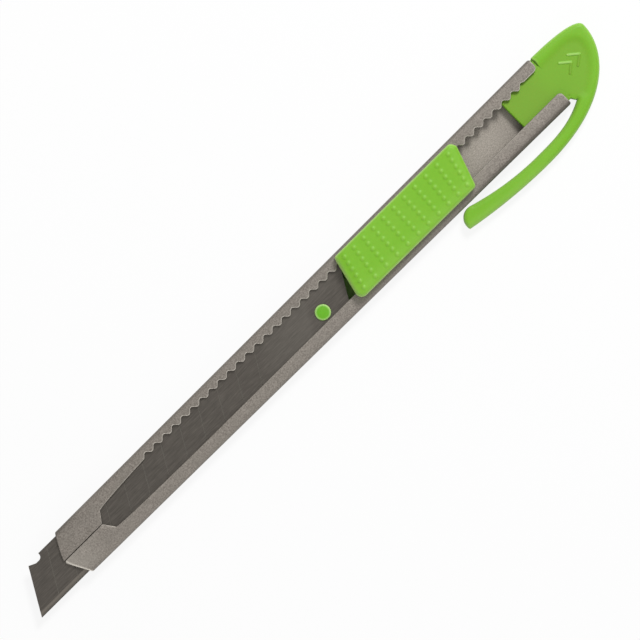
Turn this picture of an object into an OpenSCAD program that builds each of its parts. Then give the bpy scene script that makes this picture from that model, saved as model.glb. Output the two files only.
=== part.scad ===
// Snap-off knife: a folded steel sleeve, a scored blade on a thumb slider, and an end cap with a clip.
// Millimetres. +X points to the blade tip, +Y to the cutting edge, +Z up from the flat back of the sleeve.
// The origin is on the back face, on the centre line, half way along the sleeve.

/* [Blade] */
// Width from spine to cutting edge
blade_w = 9; // [8:0.1:11]
// Thickness
blade_t = 0.4; // [0.3:0.02:0.6]
// Length of the cutting edge
blade_len = 80.8; // [66:0.1:90]
// Angle between the score lines and the cutting edge
score_angle = 60; // [50:1:70]
// Distance between score lines along the blade
score_pitch = 4.87; // [4:0.01:5.5]
// Number of score lines
score_count = 12; // [8:1:13]
// Depth of a score line
score_depth = 0.14; // [0.08:0.01:0.2]
// Width of the ground edge
bevel_w = 0.9; // [0.6:0.05:1.4]
// Radius of the notch in the spine by the tip
notch_r = 0.85; // [0.6:0.05:1.2]
// Depth of the notch
notch_depth = 1.05; // [0.8:0.05:1.4]
// Distance from the stud hole to the tail end
hole_inset = 6.06; // [4:0.02:9]

/* [Sleeve] */
// Sheet thickness
sheet_t = 0.5; // [0.4:0.02:0.7]
// Length from nose tip to rear end
sleeve_len = 126.5; // [116:0.5:140]
// Clear depth of the channel
channel_h = 2.2; // [2:0.05:3]
// Width gained from nose to rear end
flare = 1.28; // [0.2:0.02:2]
// Inside radius of the folds
fold_r = 0.25; // [0.15:0.01:0.4]
// Length of the pointed nose
nose_point = 2.45; // [0.5:0.05:3.5]
// Half width of the nose's blunt tip
nose_blunt = 0.6; // [0.2:0.05:1.2]
// Length of the closed seam behind the nose tip
seam_len = 9.85; // [6:0.05:14]
// Width of the seam
seam_gap = 0.25; // [0.15:0.05:0.5]
// Half width of the mouth where the seam opens
mouth_half = 2; // [1.4:0.05:2.2]
// Plain slot edge, from the centre line
slot_plain = 2.65; // [2.5:0.05:3]
// Tooth tips at the front of the row, from the centre line
tip_front = 3.05; // [2.8:0.05:3.2]
// Tooth tips at the rear of the row, from the centre line
tip_rear = 2.8; // [2.6:0.05:3]
// Tooth depth
tooth_depth = 0.75; // [0.6:0.05:0.85]
// Tooth pitch
tooth_pitch = 2.38; // [2.1:0.01:2.7]
// Steepness of the tooth flanks
flank_angle = 45; // [43:0.5:45]
// Corner radius of the lip ends
lip_end_r = 0.85; // [0.4:0.05:1.2]

/* [Slider] */
// Notches between the stored place and the fully drawn-back place
retract_notches = 6; // [2:1:12]
// Length of the carrier behind the detent
carrier_tail = 22.4; // [20:0.1:26]
// Stud radius
stud_r = 1.52; // [1.2:0.02:1.6]
// Stud offset from the centre line
stud_y = 0.86; // [0.6:0.02:0.95]
// Stud height above the blade
stud_rise = 0.45; // [0.3:0.05:0.6]
// Button length at mid width
button_len = 30.6; // [27:0.1:33]
// Button width
button_w = 9.14; // [8:0.02:10]
// Button height above the sleeve
button_h = 2.4; // [1.8:0.05:3.2]
// Slant of the front end across the width
front_slant = 2.2; // [0:0.1:3]
// Slant of the rear end across the width
rear_slant = 3.1; // [0:0.1:4]
// Width of the sloping border around the top
button_edge = 0.6; // [0.3:0.05:1]
// Columns of grip dots
dot_cols = 11; // [7:1:12]
// Rows of grip dots
dot_rows = 6; // [4:1:7]
// Radius of a grip dot
dot_r = 0.45; // [0.3:0.02:0.55]
// Height of a grip dot
dot_h = 0.24; // [0.12:0.02:0.28]

/* [Detent spring] */
// Length from the rolled eye to the nub
leaf_len = 15.5; // [13:0.1:18]
// Strip thickness
leaf_t = 0.3; // [0.2:0.02:0.36]
// Height of the nub
nub_rise = 0.65; // [0.5:0.05:0.75]

/* [End cap and clip] */
// Length of the cap behind the sleeve
cap_len = 11.95; // [10:0.05:15]
// Length of the tongue inside the sleeve
tongue_len = 9.35; // [7:0.05:12]
// Gap between the sleeve's end and the cap's shoulder
shoulder_gap = 0.6; // [0.2:0.05:0.9]
// Space between the lips and the tongue below them
panel_drop = 0.35; // [0.05:0.05:0.6]
// Height of the cap's rim above its panel
rim_rise = 0.25; // [0.1:0.05:0.8]
// Length of the clip along the sleeve
clip_len = 29.8; // [25:0.1:34]
// Widest space between the sleeve and the clip
clip_space = 2.55; // [2:0.05:3.2]
// Width of the clip
clip_w = 2.55; // [2.2:0.05:2.9]
// Gap at the clip's gripping end
nip_gap = 0.4; // [0.35:0.05:0.8]

/* [Clearances] */
// Blade to each side wall at the nose
blade_side_gap = 0.04; // [0.02:0.01:0.15]
// Blade under the lips
blade_top_gap = 0.15; // [0.1:0.01:0.25]
// Carrier inside the channel
run_gap = 0.1; // [0.06:0.01:0.2]
// Button over the lips
button_gap = 0.15; // [0.1:0.01:0.3]
// Fixed plastic joints
seat_gap = 0.05; // [0.03:0.01:0.1]

/* [Hidden] */
$fn = 48;
eps = 0.01;
cut = 1;
reach = 200;

// Sleeve levels and ends
lip_z = sheet_t + channel_h;
sleeve_h = lip_z + sheet_t;
mid_z = sheet_t + channel_h / 2;
nose_x = sleeve_len / 2;
rear_x = -sleeve_len / 2;
corner_x = nose_x - nose_point;
bend_r = fold_r + sheet_t;

// Room that a fold takes from the channel's width, at a given distance from the lip or floor
function fold_bite(gap) = gap >= fold_r ? 0 : fold_r - sqrt(fold_r * fold_r - pow(fold_r - gap, 2));
front_half = blade_w / 2 + blade_side_gap + fold_bite(blade_top_gap) + sheet_t;
rear_half = front_half + flare / 2;
flare_angle = atan((rear_half - front_half) / (corner_x - rear_x));
function wall_y(x) = front_half + (corner_x - x) * tan(flare_angle);
nose_lean = nose_point / (front_half - nose_blunt);

// Tooth row
tooth_end = 4.1;
tooth_start = 24.8;
count_slack = 0.05;
last_root = rear_x + tooth_end;
tooth_count = 1 + floor((sleeve_len - tooth_end - tooth_start) / tooth_pitch + count_slack);
first_root = last_root + (tooth_count - 1) * tooth_pitch;
first_tip = first_root + tooth_pitch / 2;
lip_step = 0.5;
function tip_y(x) = tip_rear + (tip_front - tip_rear) * (x - last_root) / (first_tip - last_root);
// Round of the tips and roots, a little more than would just touch the straight flanks
round_over = 1.035;
touch_span = tooth_pitch / 2 * sin(flank_angle) - tooth_depth * cos(flank_angle);
tooth_r = round_over * touch_span / (2 - 2 * cos(flank_angle));
flank_half = tooth_pitch / 4 * cos(flank_angle) + (tooth_depth / 2 - tooth_r) * sin(flank_angle);
// Two ends of the straight flank around x, leading to a tip (1) or to a root (-1) at its front end
function flank(x, lead) = let (
        run = flank_half * cos(flank_angle),
        rise = lead * flank_half * sin(flank_angle),
        y = tip_y(x) + tooth_depth / 2)
    [[x - run, -(y + rise)], [x + run, -(y - rise)]];
function root_x(i) = last_root + i * tooth_pitch;

// Mouth of the slot
mouth_len = 1.4;
mouth_x = nose_x - seam_len - mouth_len;
plain_run = 22;
plain_power = 0.28;
tooth_power = 0.6;
// Easing curve of a slot edge from one point to another
function ease(from, to, power, steps = 6) =
    [for (i = [0:steps]) let (s = pow(i / steps, 2))
        [from[0] + (to[0] - from[0]) * s, from[1] + (to[1] - from[1]) * pow(s, power)]];

// Slider train, from the detent forward
stop_gap = 0.3;
tip_min = min(tip_front, tip_rear);
home_root = ceil((tongue_len + carrier_tail + stop_gap - tooth_end) / tooth_pitch);
detent_x = last_root + (home_root + retract_notches) * tooth_pitch;
body_lead = 3.02;
body_front = detent_x + body_lead;
tail_gap = 0.9;
slant = 1 / tan(score_angle);
stud_x = body_front + tail_gap + hole_inset + (blade_w / 2 + stud_y) * slant;
carrier_inset = 0.15;
carrier_half = blade_w / 2 - carrier_inset;
carrier_z = sheet_t + run_gap;
carrier_top = lip_z - run_gap;
tongue_nose = 3;
recess_wall = 0.6;
recess_floor = 0.4;
recess_lap = 0.4;

// Blade levels and ends
blade_top = lip_z - blade_top_gap;
blade_z = blade_top - blade_t;
hole_r = stud_r + seat_gap;
edge_land = 0.04;
notch_back = 1.87;
notch_run = 0.75;
notch_lip = 0.42;
function tail_x(y) = stud_x - hole_inset + (y - stud_y) * slant;
function front_x(y) = tail_x(y) + blade_len;

// Detent spring, held clear of the tooth tips
leaf_gap = 0.12;
nub_y = -(tip_min - leaf_gap);
strip_y = nub_y + nub_rise;
nub_r = 0.5;
eye_r = 0.55;
eye_x = detent_x - leaf_len;
eye_y = strip_y + leaf_t / 2;
leaf_drop = 1.2;
leaf_z = lip_z - leaf_drop;
leaf_front = 1.1;
pocket_gap = 0.15;
pocket_y = -(tip_min + tooth_depth);
neck_y = strip_y + leaf_t + pocket_gap;

// Neck and button
neck_side_gap = 0.35;
neck_lead = 2.2;
neck_inset = 1.4;
neck_front = detent_x + neck_lead;
neck_back = detent_x - carrier_tail + neck_inset;
neck_rise = 1.4;
button_z = sleeve_h + button_gap;
button_top = button_z + button_h;
button_y = -0.34;
button_lead = 5.61;
button_front = detent_x + button_lead;
corner_r = 0.7;
corner_cut = 1.15;
function button_x(along, y) = button_front - button_len * along
    + (front_slant + (rear_slant - front_slant) * along) * (y - button_y) / button_w;
dot_margin = 1.85;
row_margin = 1.33;
dot_fan = 0.00855;
dot_ball = (dot_r * dot_r + dot_h * dot_h) / (2 * dot_h);

// Cap levels, tongue and curves, measured from the sleeve's rear end
cap_z = 0.1;
panel_z = lip_z - panel_drop;
cap_top = panel_z + rim_rise;
tongue_half = wall_y(rear_x + tongue_len) - sheet_t - fold_bite(seat_gap) - seat_gap;
cap_inset = 0.15;
cap_side = -(rear_half - cap_inset);
clip_out = rear_half + clip_space + clip_w;
crest_back = 19.05;
crest_x = rear_x + clip_len - crest_back;
function bezier(a, b, c, d, steps = 14) =
    [for (i = [0:steps]) let (t = i / steps, s = 1 - t)
        s * s * s * a + 3 * s * s * t * b + 3 * s * t * t * c + t * t * t * d];
cap_end = rear_x - cap_len;
side_run = 6.84;
side_ease = 0.77;
heel_rise = 2.42;
heel_lift = 8.68;
crest_run = 16.2;
shelf_drop = 0.75;
heel = [cap_end, cap_side + heel_rise];
heel_pull = [cap_end, cap_side + heel_lift];
crest_pull = [crest_x - crest_run, clip_out];
crest = [crest_x, clip_out];

// Clip end, a round nose that grips against the sleeve wall
nose_r = 2.46;
nip_x = rear_x + clip_len - nose_r;
nip_y = wall_y(nip_x) + nip_gap + nose_r;
nip_turn = 105;
nose_angle = 16;
nose_top = [nip_x + nose_r * cos(nose_angle), nip_y + nose_r * sin(nose_angle)];
nose_drop = clip_out - nose_top[1];
function outer_y(x) = clip_out - nose_drop * pow((x - crest_x) / (nose_top[0] - crest_x), 2);
inner_shift = 0.7;
inner_crest = crest_x + inner_shift;
nip_start = [nip_x + nose_r * cos(nip_turn), nip_y - nose_r * sin(nip_turn)];
root_back = 1.27;
root_rise = 0.27;
gap_root = [rear_x - root_back, rear_half + root_rise];
inner_top = rear_half + clip_space;
function inner_y(x) = x > inner_crest
    ? inner_top - (inner_top - nip_start[1]) * pow((x - inner_crest) / (nip_start[0] - inner_crest), 2)
    : inner_top - (inner_top - gap_root[1]) * pow((inner_crest - x) / (inner_crest - gap_root[0]), 3);
clip_foot = 0.4;
clip_head = 0.1;

// Flexing root of the clip, at one place along the outer curve
flex_ratio = 0.76;
flex_over = 0.05;
flex_r = clip_w / 2 + flex_over;
flex_gap = 0.05;
function curve_at(t) = let (s = 1 - t)
    s * s * s * heel + 3 * s * s * t * heel_pull + 3 * s * t * t * crest_pull + t * t * t * crest;
function curve_angle(t) = let (v = curve_at(t + eps) - curve_at(t - eps)) atan2(v[1], v[0]);
function curve_inside(t, d) = curve_at(t) + d * [sin(curve_angle(t)), -cos(curve_angle(t))];
flex_angle = curve_angle(flex_ratio);
flex_mid = curve_inside(flex_ratio, clip_w / 2);

// Panel in the cap's face, measured from the cap's side and end
panel_rim = 2.15;
panel_back = 6.4;
panel_pull = 1.6;
panel_deep = 2;
panel_lift = 2.96;
panel_edge = 1.8;
panel_turn = 0.3;
panel_stop = 0.6;
panel_over = 0.2;
root_lap = 0.1;

// Collar of the cap, the stop that the sleeve's end meets
collar_gap = 0.1;
collar_inset = 0.15;
collar_foot = 0.2;
collar_drop = 0.75;

// Colours
steel = [0.58, 0.55, 0.52];
blade_steel = [0.36, 0.34, 0.32];
green = [0.5, 0.74, 0.24];
stud_green = [0.42, 0.74, 0.22];

// Turns a flat outline in width and height into a bar along X
module along_x(length) {
    rotate([90, 0, 90])
        linear_extrude(length)
            children();
}

// Half of the folded channel's section, with the outer wall at zero
module fold_section() {
    difference() {
        fold_outline(bend_r, 0);
        fold_outline(fold_r, sheet_t);
    }
}

module fold_outline(r, inset) {
    low = inset;
    high = sleeve_h - inset;
    translate([-2 * blade_w, low])
        square([2 * blade_w - inset - r, high - low]);
    translate([-2 * blade_w, low + r])
        square([2 * blade_w - inset, high - low - 2 * r]);
    for (z = [low + r, high - r])
        translate([-inset - r, z])
            circle(r);
}

module half_channel() {
    intersection() {
        translate([corner_x, front_half, 0])
            rotate([0, 0, -flare_angle])
                translate([-sleeve_len, 0, 0])
                    along_x(sleeve_len + 2 * nose_point)
                        fold_section();
        translate([rear_x, 0, -eps])
            cube([sleeve_len, 2 * blade_w, sleeve_h + 2 * eps]);
    }
}

// Corner left over when a square corner is rounded
module corner_waste(x, y, side, r, low, high) {
    translate([x, y, low])
        difference() {
            translate([-cut, side < 0 ? -r : -cut, 0])
                cube([cut + r, cut + r, high - low]);
            translate([r, side * r, -cut])
                cylinder(r = r, h = high - low + 2 * cut);
        }
}

// Opening between the lips, with the seam, the mouth and the wave teeth
module slot_cut() {
    plain_edge = ease([mouth_x, mouth_half], [mouth_x - plain_run, slot_plain], plain_power);
    tooth_edge = ease([mouth_x, -mouth_half], [first_tip + tooth_r, -tip_front], tooth_power);
    rear_edge = [[rear_x - cut, -(tip_rear + lip_step)], [last_root, -(tip_rear + lip_step)]];
    wave = [for (i = [0:tooth_count - 1]) let (x = root_x(i)) each concat(
        i > 0 ? flank(x - tooth_pitch / 4, -1) : [],
        flank(x + tooth_pitch / 4, 1))];
    difference() {
        translate([0, 0, mid_z]) {
            linear_extrude(sleeve_h)
                polygon(concat(
                    [[nose_x - seam_len, 0]],
                    plain_edge,
                    [[rear_x - cut, slot_plain]],
                    rear_edge,
                    wave,
                    [for (i = [len(tooth_edge) - 1:-1:0]) tooth_edge[i]]));
            translate([nose_x - seam_len - mouth_len / 2, -seam_gap / 2, 0])
                cube([seam_len + mouth_len, seam_gap, sleeve_h]);
            for (i = [0:tooth_count - 1])
                let (x = root_x(i))
                    translate([x, -(tip_y(x) + tooth_depth - tooth_r), 0])
                        cylinder(r = tooth_r, h = sleeve_h);
        }
        for (i = [0:tooth_count - 1])
            let (x = root_x(i) + tooth_pitch / 2)
                translate([x, -(tip_y(x) + tooth_r), 0])
                    cylinder(r = tooth_r, h = 2 * sleeve_h);
    }
}

// Waste in front of the pointed nose
module nose_cut() {
    for (side = [-1, 1])
        translate([0, 0, -cut])
            linear_extrude(sleeve_h + 2 * cut)
                polygon([
                    [nose_x, side * nose_blunt],
                    [corner_x - front_half * nose_lean, side * 2 * front_half],
                    [nose_x + cut, side * 2 * front_half],
                    [nose_x + cut, side * nose_blunt]]);
}

module sleeve() {
    wall_corner_r = 0.6;
    color(steel)
        difference() {
            union() {
                half_channel();
                mirror([0, 1, 0])
                    half_channel();
            }
            slot_cut();
            nose_cut();
            corner_waste(rear_x, slot_plain, 1, lip_end_r, mid_z, sleeve_h + cut);
            corner_waste(rear_x, -(tip_rear + lip_step), -1, lip_end_r, mid_z, sleeve_h + cut);
            corner_waste(rear_x, rear_half, -1, wall_corner_r, -cut, sleeve_h + cut);
            corner_waste(rear_x, -rear_half, 1, wall_corner_r, -cut, sleeve_h + cut);
        }
}

// Notch in the spine, round at its rear end and ramped to the front corner
module notch_cut() {
    h = blade_t + 2 * cut;
    translate([0, notch_depth - notch_r, 0])
        cylinder(r = notch_r, h = h);
    translate([-notch_r, -cut, 0])
        cube([notch_r, cut + notch_depth - notch_r, h]);
    linear_extrude(h)
        polygon([
            [-eps, -cut],
            [notch_back + cut, -cut],
            [notch_back + notch_lip * slant, notch_lip],
            [notch_run, notch_depth],
            [-eps, notch_depth]]);
}

module snap_off_blade() {
    half = blade_w / 2;
    over = half + cut;
    middle = blade_t / 2;
    color(blade_steel)
        translate([0, 0, blade_z])
            difference() {
                intersection() {
                    translate([-reach / 2, 0, 0])
                        along_x(reach)
                            polygon([
                                [-half, 0],
                                [half - bevel_w, 0],
                                [half, middle - edge_land / 2],
                                [half, middle + edge_land / 2],
                                [half - bevel_w, blade_t],
                                [-half, blade_t]]);
                    translate([0, 0, -cut])
                        linear_extrude(blade_t + 2 * cut)
                            polygon([
                                [tail_x(-over), -over],
                                [front_x(-over), -over],
                                [front_x(over), over],
                                [tail_x(over), over]]);
                }
                translate([stud_x, stud_y, -cut])
                    cylinder(r = hole_r, h = blade_t + 2 * cut);
                translate([front_x(-half) - notch_back, -half, -cut])
                    notch_cut();
                for (i = [1:score_count])
                    translate([front_x(0) - i * score_pitch, 0, blade_t])
                        rotate([0, 0, score_angle])
                            translate([-blade_w, 0, 0])
                                along_x(2 * blade_w)
                                    polygon([[0, -score_depth], [score_depth, eps], [-score_depth, eps]]);
            }
}

// Space in the carrier for the spring strip, its nub and its rolled eye
module spring_pocket() {
    low = leaf_z - run_gap;
    mouth = 0.45;
    translate([eye_x + mouth, pocket_y, low])
        cube([leaf_len - mouth + leaf_front + 2 * pocket_gap, neck_y - pocket_y, sleeve_h]);
    translate([eye_x, eye_y, low])
        cylinder(r = eye_r + seat_gap, h = sleeve_h);
}

// Recess in the carrier between its body and the blade's tail
module tail_recess() {
    half = carrier_half - recess_wall;
    translate([0, 0, carrier_z + recess_floor])
        linear_extrude(lip_z)
            polygon([
                [body_front, -half],
                [tail_x(-half) + recess_lap, -half],
                [tail_x(half) + recess_lap, half],
                [body_front, half]]);
}

module blade_carrier() {
    chamfer = 0.25;
    stud_h = blade_top + stud_rise - carrier_z;
    neck_h = button_z + neck_rise - carrier_z;
    color(stud_green)
        difference() {
            union() {
                translate([body_front - cut, -carrier_half, carrier_z])
                    cube([stud_x + tongue_nose - body_front + cut, 2 * carrier_half, blade_z - carrier_z]);
                translate([detent_x - carrier_tail, -carrier_half, carrier_z])
                    cube([body_front - detent_x + carrier_tail, 2 * carrier_half, carrier_top - carrier_z]);
                translate([neck_back, neck_y, carrier_z])
                    cube([neck_front - neck_back, slot_plain - neck_side_gap - neck_y, neck_h]);
                translate([stud_x, stud_y, carrier_z]) {
                    cylinder(r = stud_r, h = stud_h - chamfer);
                    translate([0, 0, stud_h - chamfer])
                        cylinder(r1 = stud_r, r2 = stud_r - chamfer, h = chamfer);
                }
            }
            spring_pocket();
            tail_recess();
        }
}

// Corner posts of the button, at one inset from its outline
module button_posts(inset, h) {
    in = inset + corner_r;
    y0 = button_y - button_w / 2 + in;
    y1 = button_y + button_w / 2 - in;
    back = 1 - in / button_len;
    front = in / button_len;
    cut_back = back - corner_cut / button_len;
    spots = [[front, y0], [front, y1], [back, y1], [cut_back, y0], [back, y0 + corner_cut]];
    for (p = spots)
        translate([button_x(p[0], p[1]), p[1], button_z])
            cylinder(r = corner_r, h = h, $fn = 32);
}

module grip_dots() {
    step_x = (button_len - 2 * dot_margin) / (dot_cols - 1);
    step_y = (button_w - 2 * row_margin) / (dot_rows - 1);
    for (i = [0:dot_cols - 1])
        for (j = [0:dot_rows - 1])
            let (
                y = (j - (dot_rows - 1) / 2) * step_y,
                fan = dot_fan * pow(i - (dot_cols - 1) / 2, 2),
                x = button_front - dot_margin - i * step_x + fan * y)
                translate([x, button_y + y, button_top + dot_h - dot_ball])
                    sphere(dot_ball);
}

module slider_button() {
    color(green)
        difference() {
            union() {
                hull() {
                    button_posts(0, button_h - button_edge);
                    button_posts(button_edge, button_h);
                }
                grip_dots();
            }
            translate([neck_back - seat_gap, neck_y - seat_gap, button_z - cut])
                cube([
                    neck_front - neck_back + 2 * seat_gap,
                    slot_plain - neck_side_gap - neck_y + 2 * seat_gap,
                    cut + neck_rise + seat_gap]);
        }
}

module detent_spring() {
    bore_r = 0.25;
    h = sleeve_h - leaf_z;
    color(steel)
        translate([0, 0, leaf_z])
            difference() {
                union() {
                    translate([eye_x, strip_y, 0])
                        cube([leaf_len + leaf_front, leaf_t, h]);
                    translate([eye_x, eye_y, 0])
                        cylinder(r = eye_r, h = h);
                    translate([detent_x, nub_y + nub_r, 0])
                        cylinder(r = nub_r, h = h);
                }
                translate([eye_x, eye_y, -cut])
                    cylinder(r = bore_r, h = h + 2 * cut);
                translate([detent_x, nub_y + nub_r, -cut])
                    cylinder(r = nub_r - leaf_t, h = h + 2 * cut);
                translate([detent_x - 2 * nub_r, strip_y + leaf_t, -cut])
                    cube([4 * nub_r, 2 * nub_r, h + 2 * cut]);
            }
}

// Plan outline of the cap and the clip together
module cap_outline() {
    steps = 14;
    back_side = [rear_x - shoulder_gap, cap_side];
    shelf = [rear_x - shoulder_gap, rear_half - shelf_drop];
    polygon(concat(
        bezier(back_side, back_side - [side_run, 0], [cap_end, cap_side + side_ease], heel),
        bezier(heel, heel_pull, crest_pull, crest),
        [for (i = [1:steps])
            let (x = crest_x + (nose_top[0] - crest_x) * i / steps)
                [x, outer_y(x)]],
        [for (i = [1:steps])
            let (a = nose_angle - (nip_turn + nose_angle) * i / steps)
                [nip_x + nose_r * cos(a), nip_y + nose_r * sin(a)]],
        [for (i = [1:2 * steps])
            let (x = nip_start[0] + (gap_root[0] - nip_start[0]) * i / (2 * steps))
                [x, inner_y(x)]],
        [shelf]));
}

// Plan of the clip's own length, ahead of its flexing root
module clip_zone(extra) {
    translate([flex_mid[0], flex_mid[1], -cut]) {
        cylinder(r = flex_r + extra, h = cap_top + 2 * cut);
        rotate([0, 0, flex_angle])
            translate([0, -clip_len, 0])
                cube([2 * clip_len, 2 * clip_len, cap_top + 2 * cut]);
    }
}

// Shallow panel in the cap's face, level with the tongue
module panel_cut() {
    side = cap_side + panel_rim;
    translate([0, 0, panel_z])
        linear_extrude(sleeve_h)
            polygon(concat(
                [[rear_x + cut, rear_half + panel_over], [rear_x + cut, side]],
                bezier(
                    [cap_end + panel_back, side],
                    [cap_end + panel_pull, side],
                    [cap_end + panel_deep, side + panel_lift],
                    curve_inside(panel_turn, panel_edge),
                    8),
                [for (t = [panel_turn:0.1:panel_stop]) curve_inside(t, panel_edge)],
                [gap_root - [root_lap, 0]]));
}

module end_cap() {
    color(green)
        difference() {
            union() {
                difference() {
                    translate([0, 0, cap_z])
                        linear_extrude(cap_top - cap_z)
                            cap_outline();
                    clip_zone(flex_gap);
                }
                translate([rear_x - shoulder_gap - cut, -tongue_half, sheet_t + seat_gap])
                    cube([tongue_len + shoulder_gap + cut, 2 * tongue_half, panel_z - sheet_t - seat_gap]);
                translate([rear_x - shoulder_gap - cut, cap_side + collar_inset, cap_z + collar_foot])
                    cube([
                        shoulder_gap + cut - collar_gap,
                        rear_half - shelf_drop - cap_side - 2 * collar_inset,
                        panel_z - collar_drop - cap_z - collar_foot]);
            }
            panel_cut();
        }
}

module pocket_clip() {
    color(green)
        intersection() {
            translate([0, 0, cap_z + clip_foot])
                linear_extrude(cap_top - clip_head - cap_z - clip_foot)
                    cap_outline();
            clip_zone(0);
        }
}

sleeve();
snap_off_blade();
blade_carrier();
slider_button();
detent_spring();
end_cap();
pocket_clip();
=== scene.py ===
"""Looks of a snap-off knife: folded sleeve, scored blade on a thumb slider, green cap with a pocket clip.

Sizes are millimetres, and meshes are written in metres. +X points to the blade tip, +Y to the cutting edge
and +Z up from the flat back of the sleeve. The origin is on that face, on the centre line, half way along.
"""

import logging
import math
from collections.abc import Callable, Iterable, Sequence
from dataclasses import dataclass, field
from enum import Enum
from typing import Any

import bmesh
import bpy
import numpy as np
from mathutils import Color, Matrix, Vector
from mathutils.geometry import delaunay_2d_cdt


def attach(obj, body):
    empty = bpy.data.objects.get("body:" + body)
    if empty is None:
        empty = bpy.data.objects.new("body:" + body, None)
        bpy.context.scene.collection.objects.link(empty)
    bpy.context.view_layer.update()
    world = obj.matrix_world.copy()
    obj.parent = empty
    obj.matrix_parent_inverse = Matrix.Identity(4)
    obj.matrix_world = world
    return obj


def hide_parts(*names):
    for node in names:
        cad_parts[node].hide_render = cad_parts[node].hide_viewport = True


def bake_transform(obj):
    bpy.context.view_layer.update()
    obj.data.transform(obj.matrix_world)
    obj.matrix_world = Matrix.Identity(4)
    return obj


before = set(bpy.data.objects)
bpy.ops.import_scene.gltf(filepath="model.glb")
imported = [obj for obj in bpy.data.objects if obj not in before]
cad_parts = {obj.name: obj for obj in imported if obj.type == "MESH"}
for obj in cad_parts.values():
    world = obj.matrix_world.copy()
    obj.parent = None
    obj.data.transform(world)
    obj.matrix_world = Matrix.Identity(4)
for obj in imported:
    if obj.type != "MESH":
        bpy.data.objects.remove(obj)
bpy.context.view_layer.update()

MM = 0.001
SHARP = 35.0
TINY = 1e-6
# The wear attribute carries real wear and painted light: painted highlight above zero, painted shade and
# painted shadow below zero.
WEAR_AND_LIGHT = "wear"
WHITE = (1.0, 1.0, 1.0, 1.0)
Item = bpy.types.Object
Material = bpy.types.Material
Socket = bpy.types.NodeSocket
Flat = tuple[float, float]
Point = tuple[float, float, float]
Colour = tuple[float, float, float, float]
Level = Callable[[np.ndarray], np.ndarray]
log = logging.getLogger("knife")


def paint(red: int, green: int, blue: int) -> Colour:
    """Turns an 8-bit screen colour into the linear colour that a shader takes."""
    linear = Color((red / 255, green / 255, blue / 255)).from_srgb_to_scene_linear()
    return (*linear, 1.0)


def soft_step(value: Any, start: float, end: float) -> Any:
    """Rises smoothly from 0 at start to 1 at end."""
    t = np.clip((value - start) / (end - start), 0.0, 1.0)
    return t * t * (3 - 2 * t)


def bezier(a: Flat, b: Flat, c: Flat, d: Flat, steps: int = 24) -> list[Flat]:
    """Points on a cubic curve, its last point left out.

    Args:
        a: Start.
        b: First pull.
        c: Second pull.
        d: End.
        steps: Number of points.

    Returns:
        The points from the start to just before the end.
    """
    shares = [(1 - i / steps, i / steps) for i in range(steps)]
    return [
        tuple(s**3 * a[k] + 3 * s * s * t * b[k] + 3 * s * t * t * c[k] + t**3 * d[k] for k in (0, 1))
        for s, t in shares
    ]


def arc(centre: Flat, radius: float, start: float, end: float, steps: int) -> list[Flat]:
    """Points on a circular arc, both ends included."""
    angles = [math.radians(start + (end - start) * i / steps) for i in range(steps + 1)]
    return [(centre[0] + radius * math.cos(a), centre[1] + radius * math.sin(a)) for a in angles]


def round_corner(before: Flat, corner: Flat, after: Flat, radius: float, steps: int = 8) -> list[Flat]:
    """Rounds one corner of an outline.

    Args:
        before: A point on the edge that comes in.
        corner: The sharp corner.
        after: A point on the edge that goes out.
        radius: Radius of the rounding.
        steps: Number of chords.

    Returns:
        Points on the rounding, from one edge to the other.
    """
    back = (Vector(before) - Vector(corner)).normalized()
    onward = (Vector(after) - Vector(corner)).normalized()
    half = back.angle(onward) / 2
    reach = radius / math.tan(half)
    middle = Vector(corner) + (back + onward).normalized() * (radius / math.sin(half))
    first = Vector(corner) + back * reach - middle
    last = Vector(corner) + onward * reach - middle
    turn = first.angle_signed(last)
    spin = [Matrix.Rotation(-turn * i / steps, 2) @ first + middle for i in range(steps + 1)]
    return [tuple(p) for p in spin]


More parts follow.
